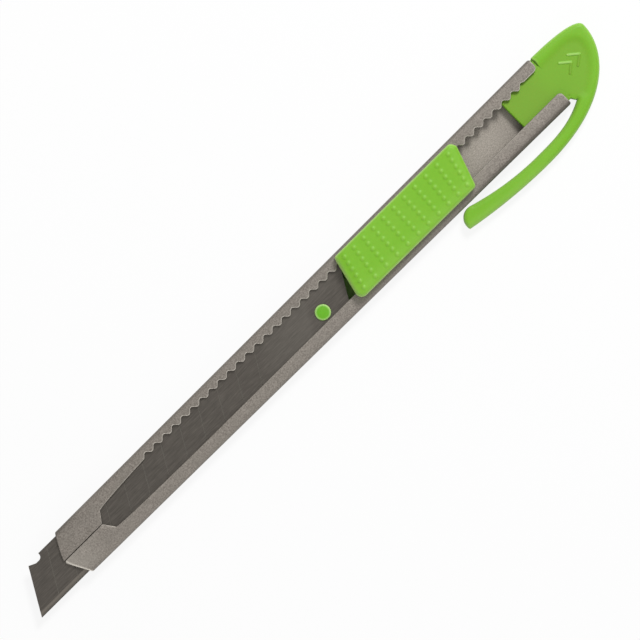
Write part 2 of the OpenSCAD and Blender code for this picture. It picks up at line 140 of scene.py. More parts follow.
class Nodes:
    """Short calls that build one material's node tree."""

    WEAK, STRONG = 0.3, 0.7

    def __init__(self, name: str) -> None:
        """Starts an empty material.

        Args:
            name: The material's name.
        """
        self.material = bpy.data.materials.new(name)
        self.material.use_nodes = True
        self.tree = self.material.node_tree
        self.tree.nodes.clear()
        self.place = self.add("ShaderNodeTexCoord").outputs["Object"]

    def add(self, kind: str, inputs: dict[Any, Any] | None = None, **settings: Any) -> bpy.types.Node:
        """Adds a node.

        Args:
            kind: Blender's name for the node.
            inputs: Values or sockets for its inputs, by name or number.
            **settings: Values for the node's own settings.

        Returns:
            The node.
        """
        node = self.tree.nodes.new(kind)
        for key, value in settings.items():
            setattr(node, key, value)
        for key, value in (inputs or {}).items():
            self.feed(node.inputs[key], value)
        return node

    def feed(self, socket: Socket, value: Any) -> None:
        """Links a socket into an input, or sets the input's own value.

        Args:
            socket: The input.
            value: A socket or a plain value.
        """
        if isinstance(value, Socket):
            self.tree.links.new(value, socket)
        else:
            socket.default_value = value

    def noise(self, grain: float, detail: float = 3.0, stretch: Point = (1.0, 1.0, 1.0)) -> Socket:
        """Adds a cloudy pattern.

        Args:
            grain: Size of its features in millimetres.
            detail: Number of finer layers.
            stretch: Scale along each axis before the pattern is read.

        Returns:
            A value around one half.
        """
        place = self.add("ShaderNodeMapping", {"Vector": self.place, "Scale": stretch}).outputs[0]
        inputs = {"Vector": place, "Scale": 1 / (grain * MM), "Detail": detail}
        return self.add("ShaderNodeTexNoise", inputs).outputs[0]

    def remap(self, value: Socket, low: float, high: float) -> Socket:
        """Spreads a noise value over a range."""
        span = {"From Min": self.WEAK, "From Max": self.STRONG, "To Min": low, "To Max": high}
        return self.add("ShaderNodeMapRange", {"Value": value, **span}).outputs[0]

    def mix(self, share: Any, first: Any, second: Any) -> Socket:
        """Mixes two colours."""
        return self.add("ShaderNodeMix", {0: share, 6: first, 7: second}, data_type="RGBA").outputs[2]

    def scaled(self, value: Socket, factor: float) -> Socket:
        """Multiplies a value."""
        return self.add("ShaderNodeMath", {0: value, 1: factor}, operation="MULTIPLY").outputs[0]

    def wear(self) -> Socket:
        """Returns the mesh's wear attribute: real wear and painted highlight above zero, painted shade
        below zero.
        """
        return self.add("ShaderNodeAttribute", attribute_name=WEAR_AND_LIGHT).outputs["Fac"]

    def bump(self, height: Socket, depth: float, strength: float) -> Socket:
        """Adds fine relief."""
        inputs = {"Strength": strength, "Distance": depth * MM, "Height": height}
        return self.add("ShaderNodeBump", inputs).outputs[0]

    def finish(self, **inputs: Any) -> Material:
        """Closes the tree with one surface shader.

        Args:
            **inputs: The shader's inputs, with underscores for spaces.

        Returns:
            The material.
        """
        named = {
            key.replace("_", " ").title().replace("Ior", "IOR"): value for key, value in inputs.items()
        }
        shader = self.add("ShaderNodeBsdfPrincipled", named)
        self.add("ShaderNodeOutputMaterial", {"Surface": shader.outputs[0]})
        return self.material


def shown(tree: bpy.types.NodeTree) -> Socket:
    """Adds a value that is 1 where a surface is seen, mirrored or looked at through glass, and 0 elsewhere.

    Args:
        tree: The node tree that takes it.

    Returns:
        The value.
    """
    path = tree.nodes.new("ShaderNodeLightPath")
    seen = path.outputs["Is Camera Ray"]
    for ray in ("Is Glossy Ray", "Is Transmission Ray"):
        either = tree.nodes.new("ShaderNodeMath")
        either.operation = "MAXIMUM"
        tree.links.new(seen, either.inputs[0])
        tree.links.new(path.outputs[ray], either.inputs[1])
        seen = either.outputs[0]
    return seen


class SheetFace(Enum):
    """The two faces of the sheet, of which the inner one is paler."""

    OUTSIDE = "outer_sheet_steel"
    INSIDE = "inner_sheet_steel"


@dataclass(frozen=True)
class SheetSteel:
    """Satin sheet steel with a fine grain, brighter where it is worn and where highlights are painted,
    darker where shade and shadow are painted.
    """

    face: SheetFace
    light: Colour
    dark: Colour
    cloudy: Colour
    # worn is the colour of worn edges and painted highlights; shade is the colour of painted shade on the
    # folds and painted shadow on the floor.
    worn: Colour = paint(194, 188, 178)
    shade: Colour = paint(62, 56, 50)
    metallic: float = 0.55
    roughness: Flat = (0.44, 0.58)
    grain: float = 0.24
    grain_detail: float = 2.0
    cloud: float = 1.8
    cloud_share: float = 0.5
    relief: Flat = (0.02, 0.35)

    def material(self) -> Material:
        """Builds the material.

        Returns:
            The material.
        """
        nodes = Nodes(self.face.value)
        wear = nodes.wear()
        grain = nodes.noise(self.grain, self.grain_detail)
        fine = nodes.mix(nodes.remap(grain, 0.0, 1.0), self.dark, self.light)
        cloud = nodes.remap(nodes.noise(self.cloud), 0.0, self.cloud_share)
        body = nodes.mix(cloud, fine, self.cloudy)
        # Painted shade and painted shadow, where the wear attribute is below zero.
        with_painted_shade = nodes.mix(nodes.scaled(wear, -1.0), body, self.shade)
        return nodes.finish(
            base_color=nodes.mix(wear, with_painted_shade, self.worn),
            metallic=self.metallic,
            roughness=nodes.remap(grain, *self.roughness),
            normal=nodes.bump(grain, *self.relief),
        )


class BladeZone(Enum):
    """The two finishes on the blade: its face and its ground edge."""

    FACE = "blade_face_steel"
    GROUND = "blade_ground_steel"


@dataclass(frozen=True)
class BladeSteel:
    """Dark strip steel with fine grinding lines."""

    zone: BladeZone
    dark: Colour
    light: Colour
    worn: Colour
    shade: Colour
    roughness: Flat
    metallic: float = 0.8
    line_width: float = 0.2
    line_stretch: Point = (0.08, 1.0, 1.0)
    cloud: float = 1.2
    cloud_detail: float = 5.0
    cloud_share: float = 0.5
    relief: Flat = (0.012, 0.28)

    def material(self) -> Material:
        """Builds the material.

        Returns:
            The material.
        """
        nodes = Nodes(self.zone.value)
        lines = nodes.noise(self.line_width, stretch=self.line_stretch)
        cloud = nodes.noise(self.cloud, self.cloud_detail)
        streaked = nodes.mix(nodes.remap(lines, 0.0, 1.0), self.dark, self.light)
        wear = nodes.wear()
        body = nodes.mix(nodes.remap(cloud, 0.0, self.cloud_share), streaked, self.dark)
        edged = nodes.mix(nodes.scaled(wear, -1.0), body, self.shade)
        return nodes.finish(
            base_color=nodes.mix(wear, edged, self.worn),
            metallic=self.metallic,
            roughness=nodes.remap(cloud, *self.roughness),
            normal=nodes.bump(lines, *self.relief),
        )


class Moulding(Enum):
    """The green mouldings, each with its own shade."""

    BUTTON = "button_green_plastic"
    CAP = "cap_green_plastic"
    CARRIER = "carrier_green_plastic"


@dataclass(frozen=True)
class GreenPlastic:
    """Bright green moulded plastic with a faint texture, paler on rubbed edges and painted highlights,
    duller in the panel and where shade is painted.
    """

    moulding: Moulding
    main: Colour
    deep: Colour
    # pale colours rubbed edges and painted highlights; dull colours specks, the cap's panel and painted
    # shade.
    pale: Colour
    dull: Colour
    roughness: Flat = (0.45, 0.56)
    gloss: float = 0.3
    texture: float = 0.16
    texture_detail: float = 2.0
    cloud: float = 6.0
    speck: float = 0.45
    speck_share: float = 0.14
    rub_share: float = 0.8
    depth_share: float = 0.05
    light_depth: float = 0.2
    relief: Flat = (0.015, 0.4)

    def material(self) -> Material:
        """Builds the material.

        Returns:
            The material.
        """
        nodes = Nodes(self.moulding.value)
        texture = nodes.noise(self.texture, self.texture_detail)
        wear = nodes.wear()
        body = nodes.mix(nodes.remap(nodes.noise(self.cloud), 0.0, 1.0), self.main, self.deep)
        body = nodes.mix(nodes.remap(nodes.noise(self.speck), 0.0, self.speck_share), body, self.dull)
        # Below zero the wear attribute darkens towards the dull colour: the cap's panel, and painted shade
        # elsewhere.
        duller_and_shaded = nodes.mix(nodes.scaled(wear, -1.0), body, self.dull)
        return nodes.finish(
            # Above zero it lightens towards the pale colour: rubbed edges and painted highlights.
            base_color=nodes.mix(nodes.scaled(wear, self.rub_share), duller_and_shaded, self.pale),
            roughness=nodes.remap(texture, *self.roughness),
            specular_ior_level=self.gloss,
            subsurface_weight=self.depth_share,
            subsurface_scale=self.light_depth * MM,
            normal=nodes.bump(texture, *self.relief),
        )


@dataclass(frozen=True)
class SpringSteel:
    """Bright rolled strip with lines along its length."""

    name: str = "rolled_spring_steel"
    light: Colour = paint(178, 176, 170)
    dark: Colour = paint(140, 138, 133)
    metallic: float = 0.9
    roughness: Flat = (0.28, 0.42)
    line_width: float = 0.15
    line_stretch: Point = (0.05, 1.0, 1.0)
    relief: Flat = (0.01, 0.2)

    def material(self) -> Material:
        """Builds the material.

        Returns:
            The material.
        """
        nodes = Nodes(self.name)
        lines = nodes.noise(self.line_width, stretch=self.line_stretch)
        return nodes.finish(
            base_color=nodes.mix(nodes.remap(lines, 0.0, 1.0), self.dark, self.light),
            metallic=self.metallic,
            roughness=nodes.remap(lines, *self.roughness),
            normal=nodes.bump(lines, *self.relief),
        )


@dataclass
class MeshDraft:
    """Points and faces of one piece, in millimetres, before it becomes an object."""

    points: list[Point] = field(default_factory=list)
    faces: list[tuple[int, ...]] = field(default_factory=list)
    finishes: list[int] = field(default_factory=list)
    wear: list[float] = field(default_factory=list)

    def add_points(self, points: Iterable[Point], wear: Iterable[float] | None = None) -> list[int]:
        """Adds points.

        Args:
            points: The points.
            wear: Wear at each of them, none if left out.

        Returns:
            Their numbers.
        """
        first = len(self.points)
        self.points.extend(tuple(float(c) for c in p) for p in points)
        count = len(self.points) - first
        self.wear.extend([0.0] * count if wear is None else [float(w) for w in wear])
        return list(range(first, first + count))

    def add_face(self, corners: Sequence[int], finish: int = 0) -> None:
        """Adds a face."""
        self.faces.append(tuple(int(c) for c in corners))
        self.finishes.append(finish)

    def bridge(
        self, first: Sequence[int], second: Sequence[int], closed: bool = True, finish: int = 0
    ) -> None:
        """Joins two rings of equal length with a band of faces.

        Args:
            first: Numbers of the first ring's points.
            second: Numbers of the second ring's points.
            closed: Whether the last point joins the first.
            finish: Which of the piece's materials the band takes.
        """
        count = len(first)
        for i in range(count if closed else count - 1):
            j = (i + 1) % count
            self.add_face((first[i], first[j], second[j], second[i]), finish)

    def absorb(self, other: "MeshDraft") -> None:
        """Takes in the points and faces of another draft.

        Args:
            other: The other draft.
        """
        numbers = self.add_points(other.points, other.wear)
        for corners, finish in zip(other.faces, other.finishes):
            self.add_face([numbers[c] for c in corners], finish)

    def to_object(self, name: str, materials: Sequence[Material], sharp: float = SHARP) -> Item:
        """Makes the object.

        Args:
            name: The piece's name.
            materials: Its materials, in the order that the faces name them.
            sharp: Angle in degrees above which an edge stays sharp.

        Returns:
            The object, linked into the scene.
        """
        mesh = bpy.data.meshes.new(name)
        mesh.from_pydata([tuple(c * MM for c in p) for p in self.points], [], self.faces)
        for material in materials:
            mesh.materials.append(material)
        mesh.polygons.foreach_set("material_index", self.finishes)
        mesh.attributes.new(WEAR_AND_LIGHT, "FLOAT", "POINT").data.foreach_set("value", self.wear)
        piece = bpy.data.objects.new(name, mesh)
        bpy.context.scene.collection.objects.link(piece)
        settle(piece, sharp)
        return piece


def settle(piece: Item, sharp: float) -> None:
    """Turns a piece's faces outward and shades it smooth between its sharp edges.

    Args:
        piece: The piece.
        sharp: Angle in degrees above which an edge stays sharp.
    """
    shape = bmesh.new()
    shape.from_mesh(piece.data)
    bmesh.ops.recalc_face_normals(shape, faces=shape.faces)
    shape.to_mesh(piece.data)
    shape.free()
    piece.data.shade_smooth()
    piece.data.set_sharp_from_angle(angle=math.radians(sharp))


class Join(Enum):
    """How two solids are combined."""

    CUT = "DIFFERENCE"
    WELD = "UNION"


def combine(piece: Item, other: Item, how: Join, sharp: float = SHARP) -> None:
    """Cuts one solid by another or welds them, and removes the other.

    Args:
        piece: The solid that is kept.
        other: The solid that cuts it or is welded to it.
        how: Which of the two.
        sharp: Angle in degrees above which an edge stays sharp.
    """
    step = piece.modifiers.new(how.name, "BOOLEAN")
    step.operation = how.value
    step.solver = "EXACT"
    step.object = other
    depsgraph = bpy.context.evaluated_depsgraph_get()
    mesh = bpy.data.meshes.new_from_object(piece.evaluated_get(depsgraph))
    piece.modifiers.remove(step)
    piece.data = mesh
    bpy.data.objects.remove(other)
    settle(piece, sharp)


def punch(piece: Item, outline: Sequence[Flat], levels: Flat, sharp: float = SHARP) -> None:
    """Punches a hole through a piece.

    Args:
        piece: The piece.
        outline: The hole's plan.
        levels: Lower and upper end of the hole.
        sharp: Angle in degrees above which an edge stays sharp.
    """
    cutter = MeshDraft()
    low, high = (cutter.add_points((x, y, level) for x, y in outline) for level in levels)
    cutter.bridge(low, high)
    cutter.add_face(low)
    cutter.add_face(high)
    combine(piece, cutter.to_object("punch", piece.data.materials[:]), Join.CUT, sharp)


@dataclass
class Run:
    """One stretch of a plan outline. It ends where the next one starts."""

    points: list[Flat]
    top: float = 0.0
    foot: float = 0.0


@dataclass
class PlanSolid:
    """A closed solid on a plan outline, with rounded edges and free top and foot levels."""

    runs: list[Run]
    spacing: float = 0.4
    grid: float = 0.6
    edge_band: float = 0.9
    # The pale band along rounded edges is rubbed wear with a painted highlight.
    edge_wear_and_highlight: float = 1.0
    rings: int = 7
    extras: list[Flat] = field(default_factory=list)
    least_lean: float = 0.5
    least_depth: float = 0.004
    ring_clear: float = 0.9
    grid_clear: float = 0.3
    extra_clear: float = 0.05
    least_gap: float = 0.06
    weld: float = 1e-7

    def __post_init__(self) -> None:
        """Walks the outline at an even spacing."""
        spots: list[Flat] = []
        tops: list[float] = []
        feet: list[float] = []
        for index, run in enumerate(self.runs):
            onward = self.runs[(index + 1) % len(self.runs)].points[0]
            for a, b in zip(run.points, [*run.points[1:], onward]):
                steps = max(1, math.ceil(math.dist(a, b) / self.spacing - TINY))
                for i in range(steps):
                    t = i / steps
                    spots.append((a[0] + (b[0] - a[0]) * t, a[1] + (b[1] - a[1]) * t))
                    tops.append(run.top)
                    feet.append(run.foot)
        self.line = np.array(spots)
        self.tops = np.array(tops)
        self.feet = np.array(feet)
        onward = np.roll(self.line, -1, axis=0)
        area = np.sum(self.line[:, 0] * onward[:, 1] - onward[:, 0] * self.line[:, 1])
        step = (onward - self.line) * np.sign(area)
        length = np.linalg.norm(step, axis=1, keepdims=True)
        self.inward = np.stack([-step[:, 1], step[:, 0]], axis=1) / length

    def distances(self, spots: np.ndarray) -> np.ndarray:
        """Measures each spot against each chord of the outline.

        Args:
            spots: Spots in plan.

        Returns:
            One row of distances for each spot.
        """
        chord = np.roll(self.line, -1, axis=0) - self.line
        away = spots[:, None, :] - self.line[None, :, :]
        along = np.clip(np.sum(away * chord, axis=2) / np.sum(chord * chord, axis=1), 0.0, 1.0)
        return np.linalg.norm(away - along[:, :, None] * chord[None, :, :], axis=2)

    def inside(self, spots: np.ndarray) -> np.ndarray:
        """Tells which spots lie inside the outline.

        Args:
            spots: Spots in plan.

        Returns:
            True for each spot inside.
        """
        a, b = self.line, np.roll(self.line, -1, axis=0)
        x, y = spots[:, None, 0], spots[:, None, 1]
        spans = (a[:, 1] > y) != (b[:, 1] > y)
        rise = np.where(b[:, 1] == a[:, 1], 1.0, b[:, 1] - a[:, 1])
        crossing = a[:, 0] + (y - a[:, 1]) * (b[:, 0] - a[:, 0]) / rise
        return np.sum(spans & (x < crossing), axis=1) % 2 == 1

    def spread(self) -> np.ndarray:
        """Places the points that carry the surface inside the outline.

        Returns:
            The points, none too close to another.
        """
        before = np.roll(self.inward, 1, axis=0)
        normal = self.inward + before
        normal /= np.linalg.norm(normal, axis=1, keepdims=True)
        lean = np.clip(np.sum(normal * self.inward, axis=1), self.least_lean, 1.0)
        rounds = np.maximum(self.tops, self.feet)
        rounds = np.maximum(rounds, np.roll(rounds, 1))
        rows = []
        for k in range(1, self.rings + 1):
            depth = rounds * (1 - math.cos(math.radians(90 * k / self.rings)))
            row = self.line + normal * (depth / lean)[:, None]
            clear = self.distances(row).min(axis=1) > self.ring_clear * depth
            rows.append(row[clear & (depth > self.least_depth)])
        low, high = self.line.min(axis=0), self.line.max(axis=0)
        across = np.meshgrid(np.arange(low[0], high[0], self.grid), np.arange(low[1], high[1], self.grid))
        lattice = np.stack([a.ravel() for a in across], axis=1)
        room = self.distances(lattice)
        rows.append(lattice[(room > self.grid_clear * self.grid + rounds).all(axis=1)])
        if self.extras:
            chosen = np.array(self.extras)
            rows.insert(0, chosen[self.distances(chosen).min(axis=1) > self.extra_clear])
        spots = np.concatenate(rows)
        spots = spots[self.inside(spots)]
        _, first = np.unique(np.round(spots / self.least_gap), axis=0, return_index=True)
        return spots[np.sort(first)]

    def fall(self, spots: np.ndarray, rounds: np.ndarray) -> np.ndarray:
        """Works out how far the rounded edges lie below the level."""
        near = np.clip(rounds - self.distances(spots), 0.0, None)
        return (rounds - np.sqrt(rounds * rounds - near * near)).max(axis=1)

    def draft(self, top: Level, foot: Level, tone_shift: Level | None = None) -> MeshDraft:
        """Builds the closed mesh.

        Args:
            top: Level of the upper face at each spot.
            foot: Level of the lower face at each spot.
            tone_shift: Wear, painted highlight and painted shade of the upper face, added to that along its
                rounded edges.

        Returns:
            The mesh draft.
        """
        count = len(self.line)
        given = [Vector(p) for p in (*self.line, *self.spread())]
        fill_outline = 1
        filled = delaunay_2d_cdt(given, [], [list(range(count))], fill_outline, self.weld)
        spots, _, triangles, sources, _, _ = filled
        plan = np.array([tuple(p) for p in spots])
        place = {source: number for number, group in enumerate(sources) for source in group}
        rim = [place[i] for i in range(count)]
        near = self.distances(plan)[:, self.tops > 0].min(axis=1, initial=self.edge_band)
        # Rounded edges get a pale band: rubbed wear with a painted highlight.
        worn = self.edge_wear_and_highlight * (1 - soft_step(near, 0.0, self.edge_band))
        high = top(plan) - self.fall(plan, self.tops)
        low = foot(plan) + self.fall(plan, self.feet)
        made = MeshDraft()
        upper = made.add_points(np.column_stack([plan, high]), worn if tone_shift is None else worn + tone_shift(plan))
        lower = made.add_points(np.column_stack([plan, low]), worn)
        for corners in triangles:
            made.add_face([upper[c] for c in corners])
            made.add_face([lower[c] for c in reversed(corners)])
        made.bridge([upper[i] for i in rim], [lower[i] for i in rim])
        return made


def flat_level(height: float) -> Level:
    """Gives a level that is the same everywhere."""
    return lambda spots: np.full(len(spots), height)


def block(low: Point, high: Point, corner: float, edge: float) -> PlanSolid:
    """Lays out a plain block with rounded corners in plan and rounded edges.

    Args:
        low: Lowest corner.
        high: Highest corner.
        corner: Corner radius in plan.
        edge: Rounding of its top and foot edges.

    Returns:
        The block's plan.
    """
    corners = [(low[0], low[1]), (high[0], low[1]), (high[0], high[1]), (low[0], high[1])]
    outline: list[Flat] = []
    for i, spot in enumerate(corners):
        outline += round_corner(corners[i - 1], spot, corners[(i + 1) % 4], corner, steps=4)
    return PlanSolid([Run(outline, edge, edge)], spacing=1.2, grid=1.6, edge_band=0.5, rings=4)


def dress(piece: Item, slot: str, *nodes: str) -> Item:
    """Hides the solids that a piece stands for, and logs its face count and what it stands for.

    Args:
        piece: The piece.
        slot: Not used.
        *nodes: Names of the solids that it replaces.

    Returns:
        The piece.
    """
    if nodes:
        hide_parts(*nodes)
    whole = ", ".join(nodes) or "part of a solid"
    log.info("%s: %d faces, stands for %s", piece.name, len(piece.data.polygons), whole)
    return piece


@dataclass
class Sleeve:
    """The folded steel sleeve, with its seam, mouth, slot and row of wave teeth."""

    length: float = 126.5
    height: float = 3.2
    sheet: float = 0.5
    fold: float = 0.25
    front_half: float = 5.0605
    flare: float = 0.64
    nose_point: float = 2.45
    nose_blunt: float = 0.6
    nose_round: float = 0.22
    nose_band: float = 0.5
    nose_blend: float = 8.5
    seam_length: float = 9.85
    seam_gap: float = 0.16
    seam_round: float = 0.06
    mouth_length: float = 1.4
    mouth_half: float = 2.0
    plain_half: float = 2.65
    plain_run: float = 22.0
    plain_power: float = 0.28
    tip_front: float = 3.05
    tip_rear: float = 2.8
    tooth_pitch: float = 2.38
    tooth_count: int = 42
    tooth_depth: float = 0.75
    tooth_round: float = 0.53
    flank_angle: float = 45.0
    last_root: float = -59.15
    rear_half: float = 3.3
    lip_corner: float = 0.85
    wall_corner: float = 0.42
    end_round: float = 0.12
    lip_round: float = 0.2
    plain_corner: float = 0.45
    tooth_corner: float = 0.12
    # Painted highlight: the plain lip is painted a little brighter, more so towards the nose.
    painted_sheen: float = 0.03
    nose_painted_sheen: float = 0.19
    # Painted shade on the outer folds: on the toothed side mostly at the nose, on the plain side mostly at
    # the rear.
    fold_shade: float = 0.5
    rear_shade: float = 0.58
    # Painted shadow on the inner floor in front of the cap's tongue, darkest in the corner at the plain
    # wall.
    painted_shadow_from: float = -53.9
    painted_shadow_run: float = 7.0
    painted_shadow: float = 0.22
    painted_corner_shadow: float = 0.55
    # Brightness of the lips' edges: wear, with painted highlight on the edges that catch the light.
    seam_wear_and_highlight: float = 0.1
    tooth_wear_and_highlight: float = 0.85
    lead_wear_and_highlight: float = 0.4
    under_wear_and_highlight: float = 0.3
    plain_wear_and_highlight: float = 0.12
    # Painted highlight on the plain lip's edge towards the rear, which lifts its shaded side.
    plain_highlight_run: Flat = (30.0, 42.0)
    plain_highlight_end: Flat = (51.0, 54.0)
    fold_band: Flat = (0.95, 0.5)
    tooth_fold: float = 0.2
    plain_fold: float = 0.5
    rear_run: Flat = (32.0, 46.0)
    painted_corner_shadow_run: Flat = (1.0, 2.2)
    painted_corner_shadow_side: Flat = (-0.8, 3.2)
    painted_shadow_hidden: Flat = (-1.5, -0.2)
    lead_power: float = 0.6
    under_share: float = 0.6
    inner_round: float = 0.1
    least_fold: float = 0.05
    corner_gap: float = 0.04
    bend_steps: int = 6
    flat_steps: int = 3
    lip_steps: int = 4
    under_steps: int = 3
    end_steps: int = 4
    lead_steps: int = 14
    gape_steps: int = 6
    seam_steps: int = 8
    tail_steps: int = 7
    sharp: float = 40.0
    bend_shares: tuple[float, ...] = (0.0, 0.4, 0.72, 1.0)
    seam_backs: tuple[float, ...] = (0.43, 0.35, 0.28)

    def __post_init__(self) -> None:
        """Works out the places along the sleeve that other sizes give."""
        self.nose = self.length / 2
        self.rear = -self.length / 2
        self.corner = self.nose - self.nose_point
        self.seam_end = self.nose - self.seam_length
        self.mouth = self.seam_end - self.mouth_length
        self.first_root = self.last_root + (self.tooth_count - 1) * self.tooth_pitch
        self.first_tip = self.first_root + self.tooth_pitch / 2
        turn = math.radians(self.flank_angle)
        self.arc_run = self.tooth_round * math.sin(turn)
        self.arc_fall = self.tooth_round * (1 - math.cos(turn))

    def wall(self, x: float) -> float:
        """Half width of the sleeve, which flares a little to the rear."""
        return self.front_half + (self.corner - x) * self.flare / (self.corner - self.rear)

    def corner_step(self, x: float, radius: float) -> float:
        """How far a rounded rear corner has stepped back."""
        near = max(0.0, radius - (x - self.rear))
        return radius - math.sqrt(max(0.0, radius * radius - near * near))

    def mouth_edge(self, x: float, corner: float) -> float:
        """Slot edge along the seam and across the mouth where it opens.

        Args:
            x: Place along the sleeve, in front of the slot.
            corner: Rounding of the seam's front corner.

        Returns:
            Distance of the edge from the centre line.
        """
        seam = self.seam_gap / 2
        if x >= self.seam_end:
            near = max(0.0, x - self.nose + corner)
            return seam + corner - math.sqrt(max(0.0, corner * corner - near * near))
        return seam + (self.mouth_half - seam) * (self.seam_end - x) / self.mouth_length

    def plain_edge(self, x: float) -> float:
        """Slot edge on the plain side.

        Args:
            x: Place along the sleeve.

        Returns:
            Distance of the edge from the centre line.
        """
        if x >= self.mouth:
            return self.mouth_edge(x, self.plain_corner)
        t = min(1.0, (self.mouth - x) / self.plain_run)
        eased = self.mouth_half + (self.plain_half - self.mouth_half) * t**self.plain_power
        return eased + self.corner_step(x, self.lip_corner)

    def wave(self, off: float) -> float:
        """How far the toothed edge lies below the line of the tooth tips.

        Args:
            off: Distance along the sleeve from the nearest root.

        Returns:
            The distance, the whole tooth depth at a root and zero at a tip.
        """
        half = self.tooth_pitch / 2
        if off <= self.arc_run:
            return self.tooth_depth - self.tooth_round + math.sqrt(self.tooth_round**2 - off * off)
        if off >= half - self.arc_run:
            return self.tooth_round - math.sqrt(self.tooth_round**2 - (half - off) ** 2)
        share = (off - self.arc_run) / (half - 2 * self.arc_run)
        return self.tooth_depth - self.arc_fall - share * (self.tooth_depth - 2 * self.arc_fall)

    def tooth_edge(self, x: float) -> float:
        """Slot edge on the toothed side.

        Args:
            x: Place along the sleeve.

        Returns:
            Distance of the edge from the centre line.
        """
        if x >= self.mouth:
            return self.mouth_edge(x, self.tooth_corner)
        if x > self.first_tip:
            t = (self.mouth - x) / (self.mouth - self.first_tip)
            return self.mouth_half + (self.tip_front - self.mouth_half) * t**self.lead_power
        along = (x - self.last_root) / (self.first_root - self.last_root)
        tip = self.tip_rear + (self.tip_front - self.tip_rear) * along
        number = min(self.tooth_count - 1, max(0, round((x - self.last_root) / self.tooth_pitch)))
        off = min(self.tooth_pitch / 2, abs(x - self.last_root - number * self.tooth_pitch))
        edge = tip + self.wave(off)
        if x < self.last_root:
            return max(self.rear_half, edge) + self.corner_step(x, self.lip_corner)
        return edge

    def stations(self) -> list[tuple[float, float]]:
        """Places along the sleeve where its section is drawn.

        Returns:
            Pairs of a place and the rounding that the section has lost there.
        """
        half = self.tooth_pitch / 2
        bends = [self.arc_run * share for share in self.bend_shares]
        offs = [*bends, half / 2, *(half - bend for bend in bends)]
        teeth = [
            self.last_root + i * self.tooth_pitch + side * off
            for i in range(self.tooth_count)
            for off in offs
            for side in (-1, 1)
        ]
        lead_run = self.first_tip - self.mouth
        lead = [self.mouth + lead_run * (i / self.lead_steps) ** 2 for i in range(self.lead_steps)]
        gape = [self.seam_end - self.mouth_length * i / self.gape_steps for i in range(self.gape_steps)]
        seam_run = self.seam_length - self.nose_band
        seam = [self.seam_end + seam_run * i / self.seam_steps for i in range(1, self.seam_steps + 1)]
        seam += [self.nose - back for back in self.seam_backs]
        turns = [math.radians(90 * i / self.tail_steps) for i in range(2, self.tail_steps + 1)]
        tail = [self.rear + self.lip_corner * (1 - math.cos(turn)) for turn in turns]
        inner = sorted({round(x, 4) for x in (*teeth, *lead, *gape, *seam, *tail)})
        inner = [x for x in inner if x > self.rear + self.end_round]
        rear = self.rounding(self.rear, 1, self.end_round)
        nose = self.rounding(self.nose, -1, self.nose_round)
        return [*rear, *((x, 0.0) for x in inner), *reversed(nose)]

    def rounding(self, end: float, inward: int, radius: float) -> list[tuple[float, float]]:
        """Stations of a rounded end, from the end inward."""
        angles = [math.radians(90 * i / self.end_steps) for i in range(self.end_steps)]
        return [(end + inward * radius * (1 - math.cos(a)), radius * (1 - math.sin(a))) for a in angles]

    def edge_round(self, x: float) -> float:
        """Rounding of a lip's edge, which is finer along the closed seam."""
        share = min(1.0, max(0.0, (x - self.mouth) / self.mouth_length))
        return self.lip_round + (self.seam_round - self.lip_round) * share

    def half_section(
        self, edge: float, rim: float, wall: float, trim: float, lost: float, inner: bool
    ) -> list[Flat]:
        """One half of one side of the sheet's section, from the lip's edge to the middle of the back.

        Args:
            edge: Distance of the lip's edge from the centre line.
            rim: Rounding of the lip's edge.
            wall: Half width of the sleeve.
            trim: What a rounded corner takes off the wall.
            lost: Rounding that the section has lost at an end.
            inner: Whether it is the inside of the sheet.

        Returns:
            Points as distance from the centre line and height.
        """
        spared = min(lost, self.inner_round)
        inset = self.sheet - spared if inner else lost
        radius = self.fold + spared if inner else max(self.least_fold, self.fold + self.sheet - lost)
        limit = wall - trim - (self.corner_gap if inner else 0.0)
        high, low, side = self.height - inset, inset, wall - inset
        start = edge + lost + (self.under_share if inner else 1.0) * rim
        end = side - radius
        lip = [(start + (end - start) * i / self.flat_steps, high) for i in range(self.flat_steps + 1)]
        upper = arc((end, high - radius), radius, 90, 0, self.bend_steps)[1:]
        lower = arc((end, low + radius), radius, 0, -90, self.bend_steps)
        back = [(end * (1 - i / self.flat_steps), low) for i in range(1, self.flat_steps + 1)]
        return [(min(y, limit), z) for y, z in (*lip, *upper, *lower, *back)]

    def lip_edge(self, edge: float, rim: float, lost: float) -> list[Flat]:
        """Rounded edge of a lip, from its top to its underside.

        Args:
            edge: Distance of the edge from the centre line.
            rim: Its rounding.
            lost: Rounding that the section has lost at an end.

        Returns:
            Points as distance from the centre line and height.
        """
        top, under = rim, self.under_share * rim
        y, high = edge + lost, self.height - lost
        low = self.height - self.sheet + min(lost, self.inner_round)
        upper = arc((y + top, high - top), top, 90, 180, self.lip_steps)[1:]
        lower = arc((y + under, low + under), under, 180, 270, self.under_steps)[:-1]
        return upper + lower

    def lip_wear_and_highlight(self, x: float, side: int) -> float:
        """Wear and painted highlight of a lip's edge: the toothed lip is bright, and so is the mouth of the
        plain lip; the plain lip's edge gets a painted highlight towards the rear.

        Args:
            x: Place along the sleeve.
            side: 1 for the plain lip, -1 for the toothed lip.

        Returns:
            The wear and painted highlight there.
        """
        if x > self.seam_end:
            return self.seam_wear_and_highlight
        if x > self.mouth or (side < 0 and x < self.first_tip):
            return self.tooth_wear_and_highlight
        if side < 0:
            return self.lead_wear_and_highlight
        # Painted highlight along the plain lip's edge towards the rear.
        tone_shift = soft_step(-x, *self.plain_highlight_run) * (1 - soft_step(-x, *self.plain_highlight_end))
        return self.plain_wear_and_highlight * (1 + tone_shift)

    def nose_ramp(self, x: float) -> float:
        """Share of the nose's point that a station takes, 0 behind the nose and 1 at its tip."""
        return min(1.0, max(0.0, (x - self.nose + self.nose_blend) / self.nose_blend))

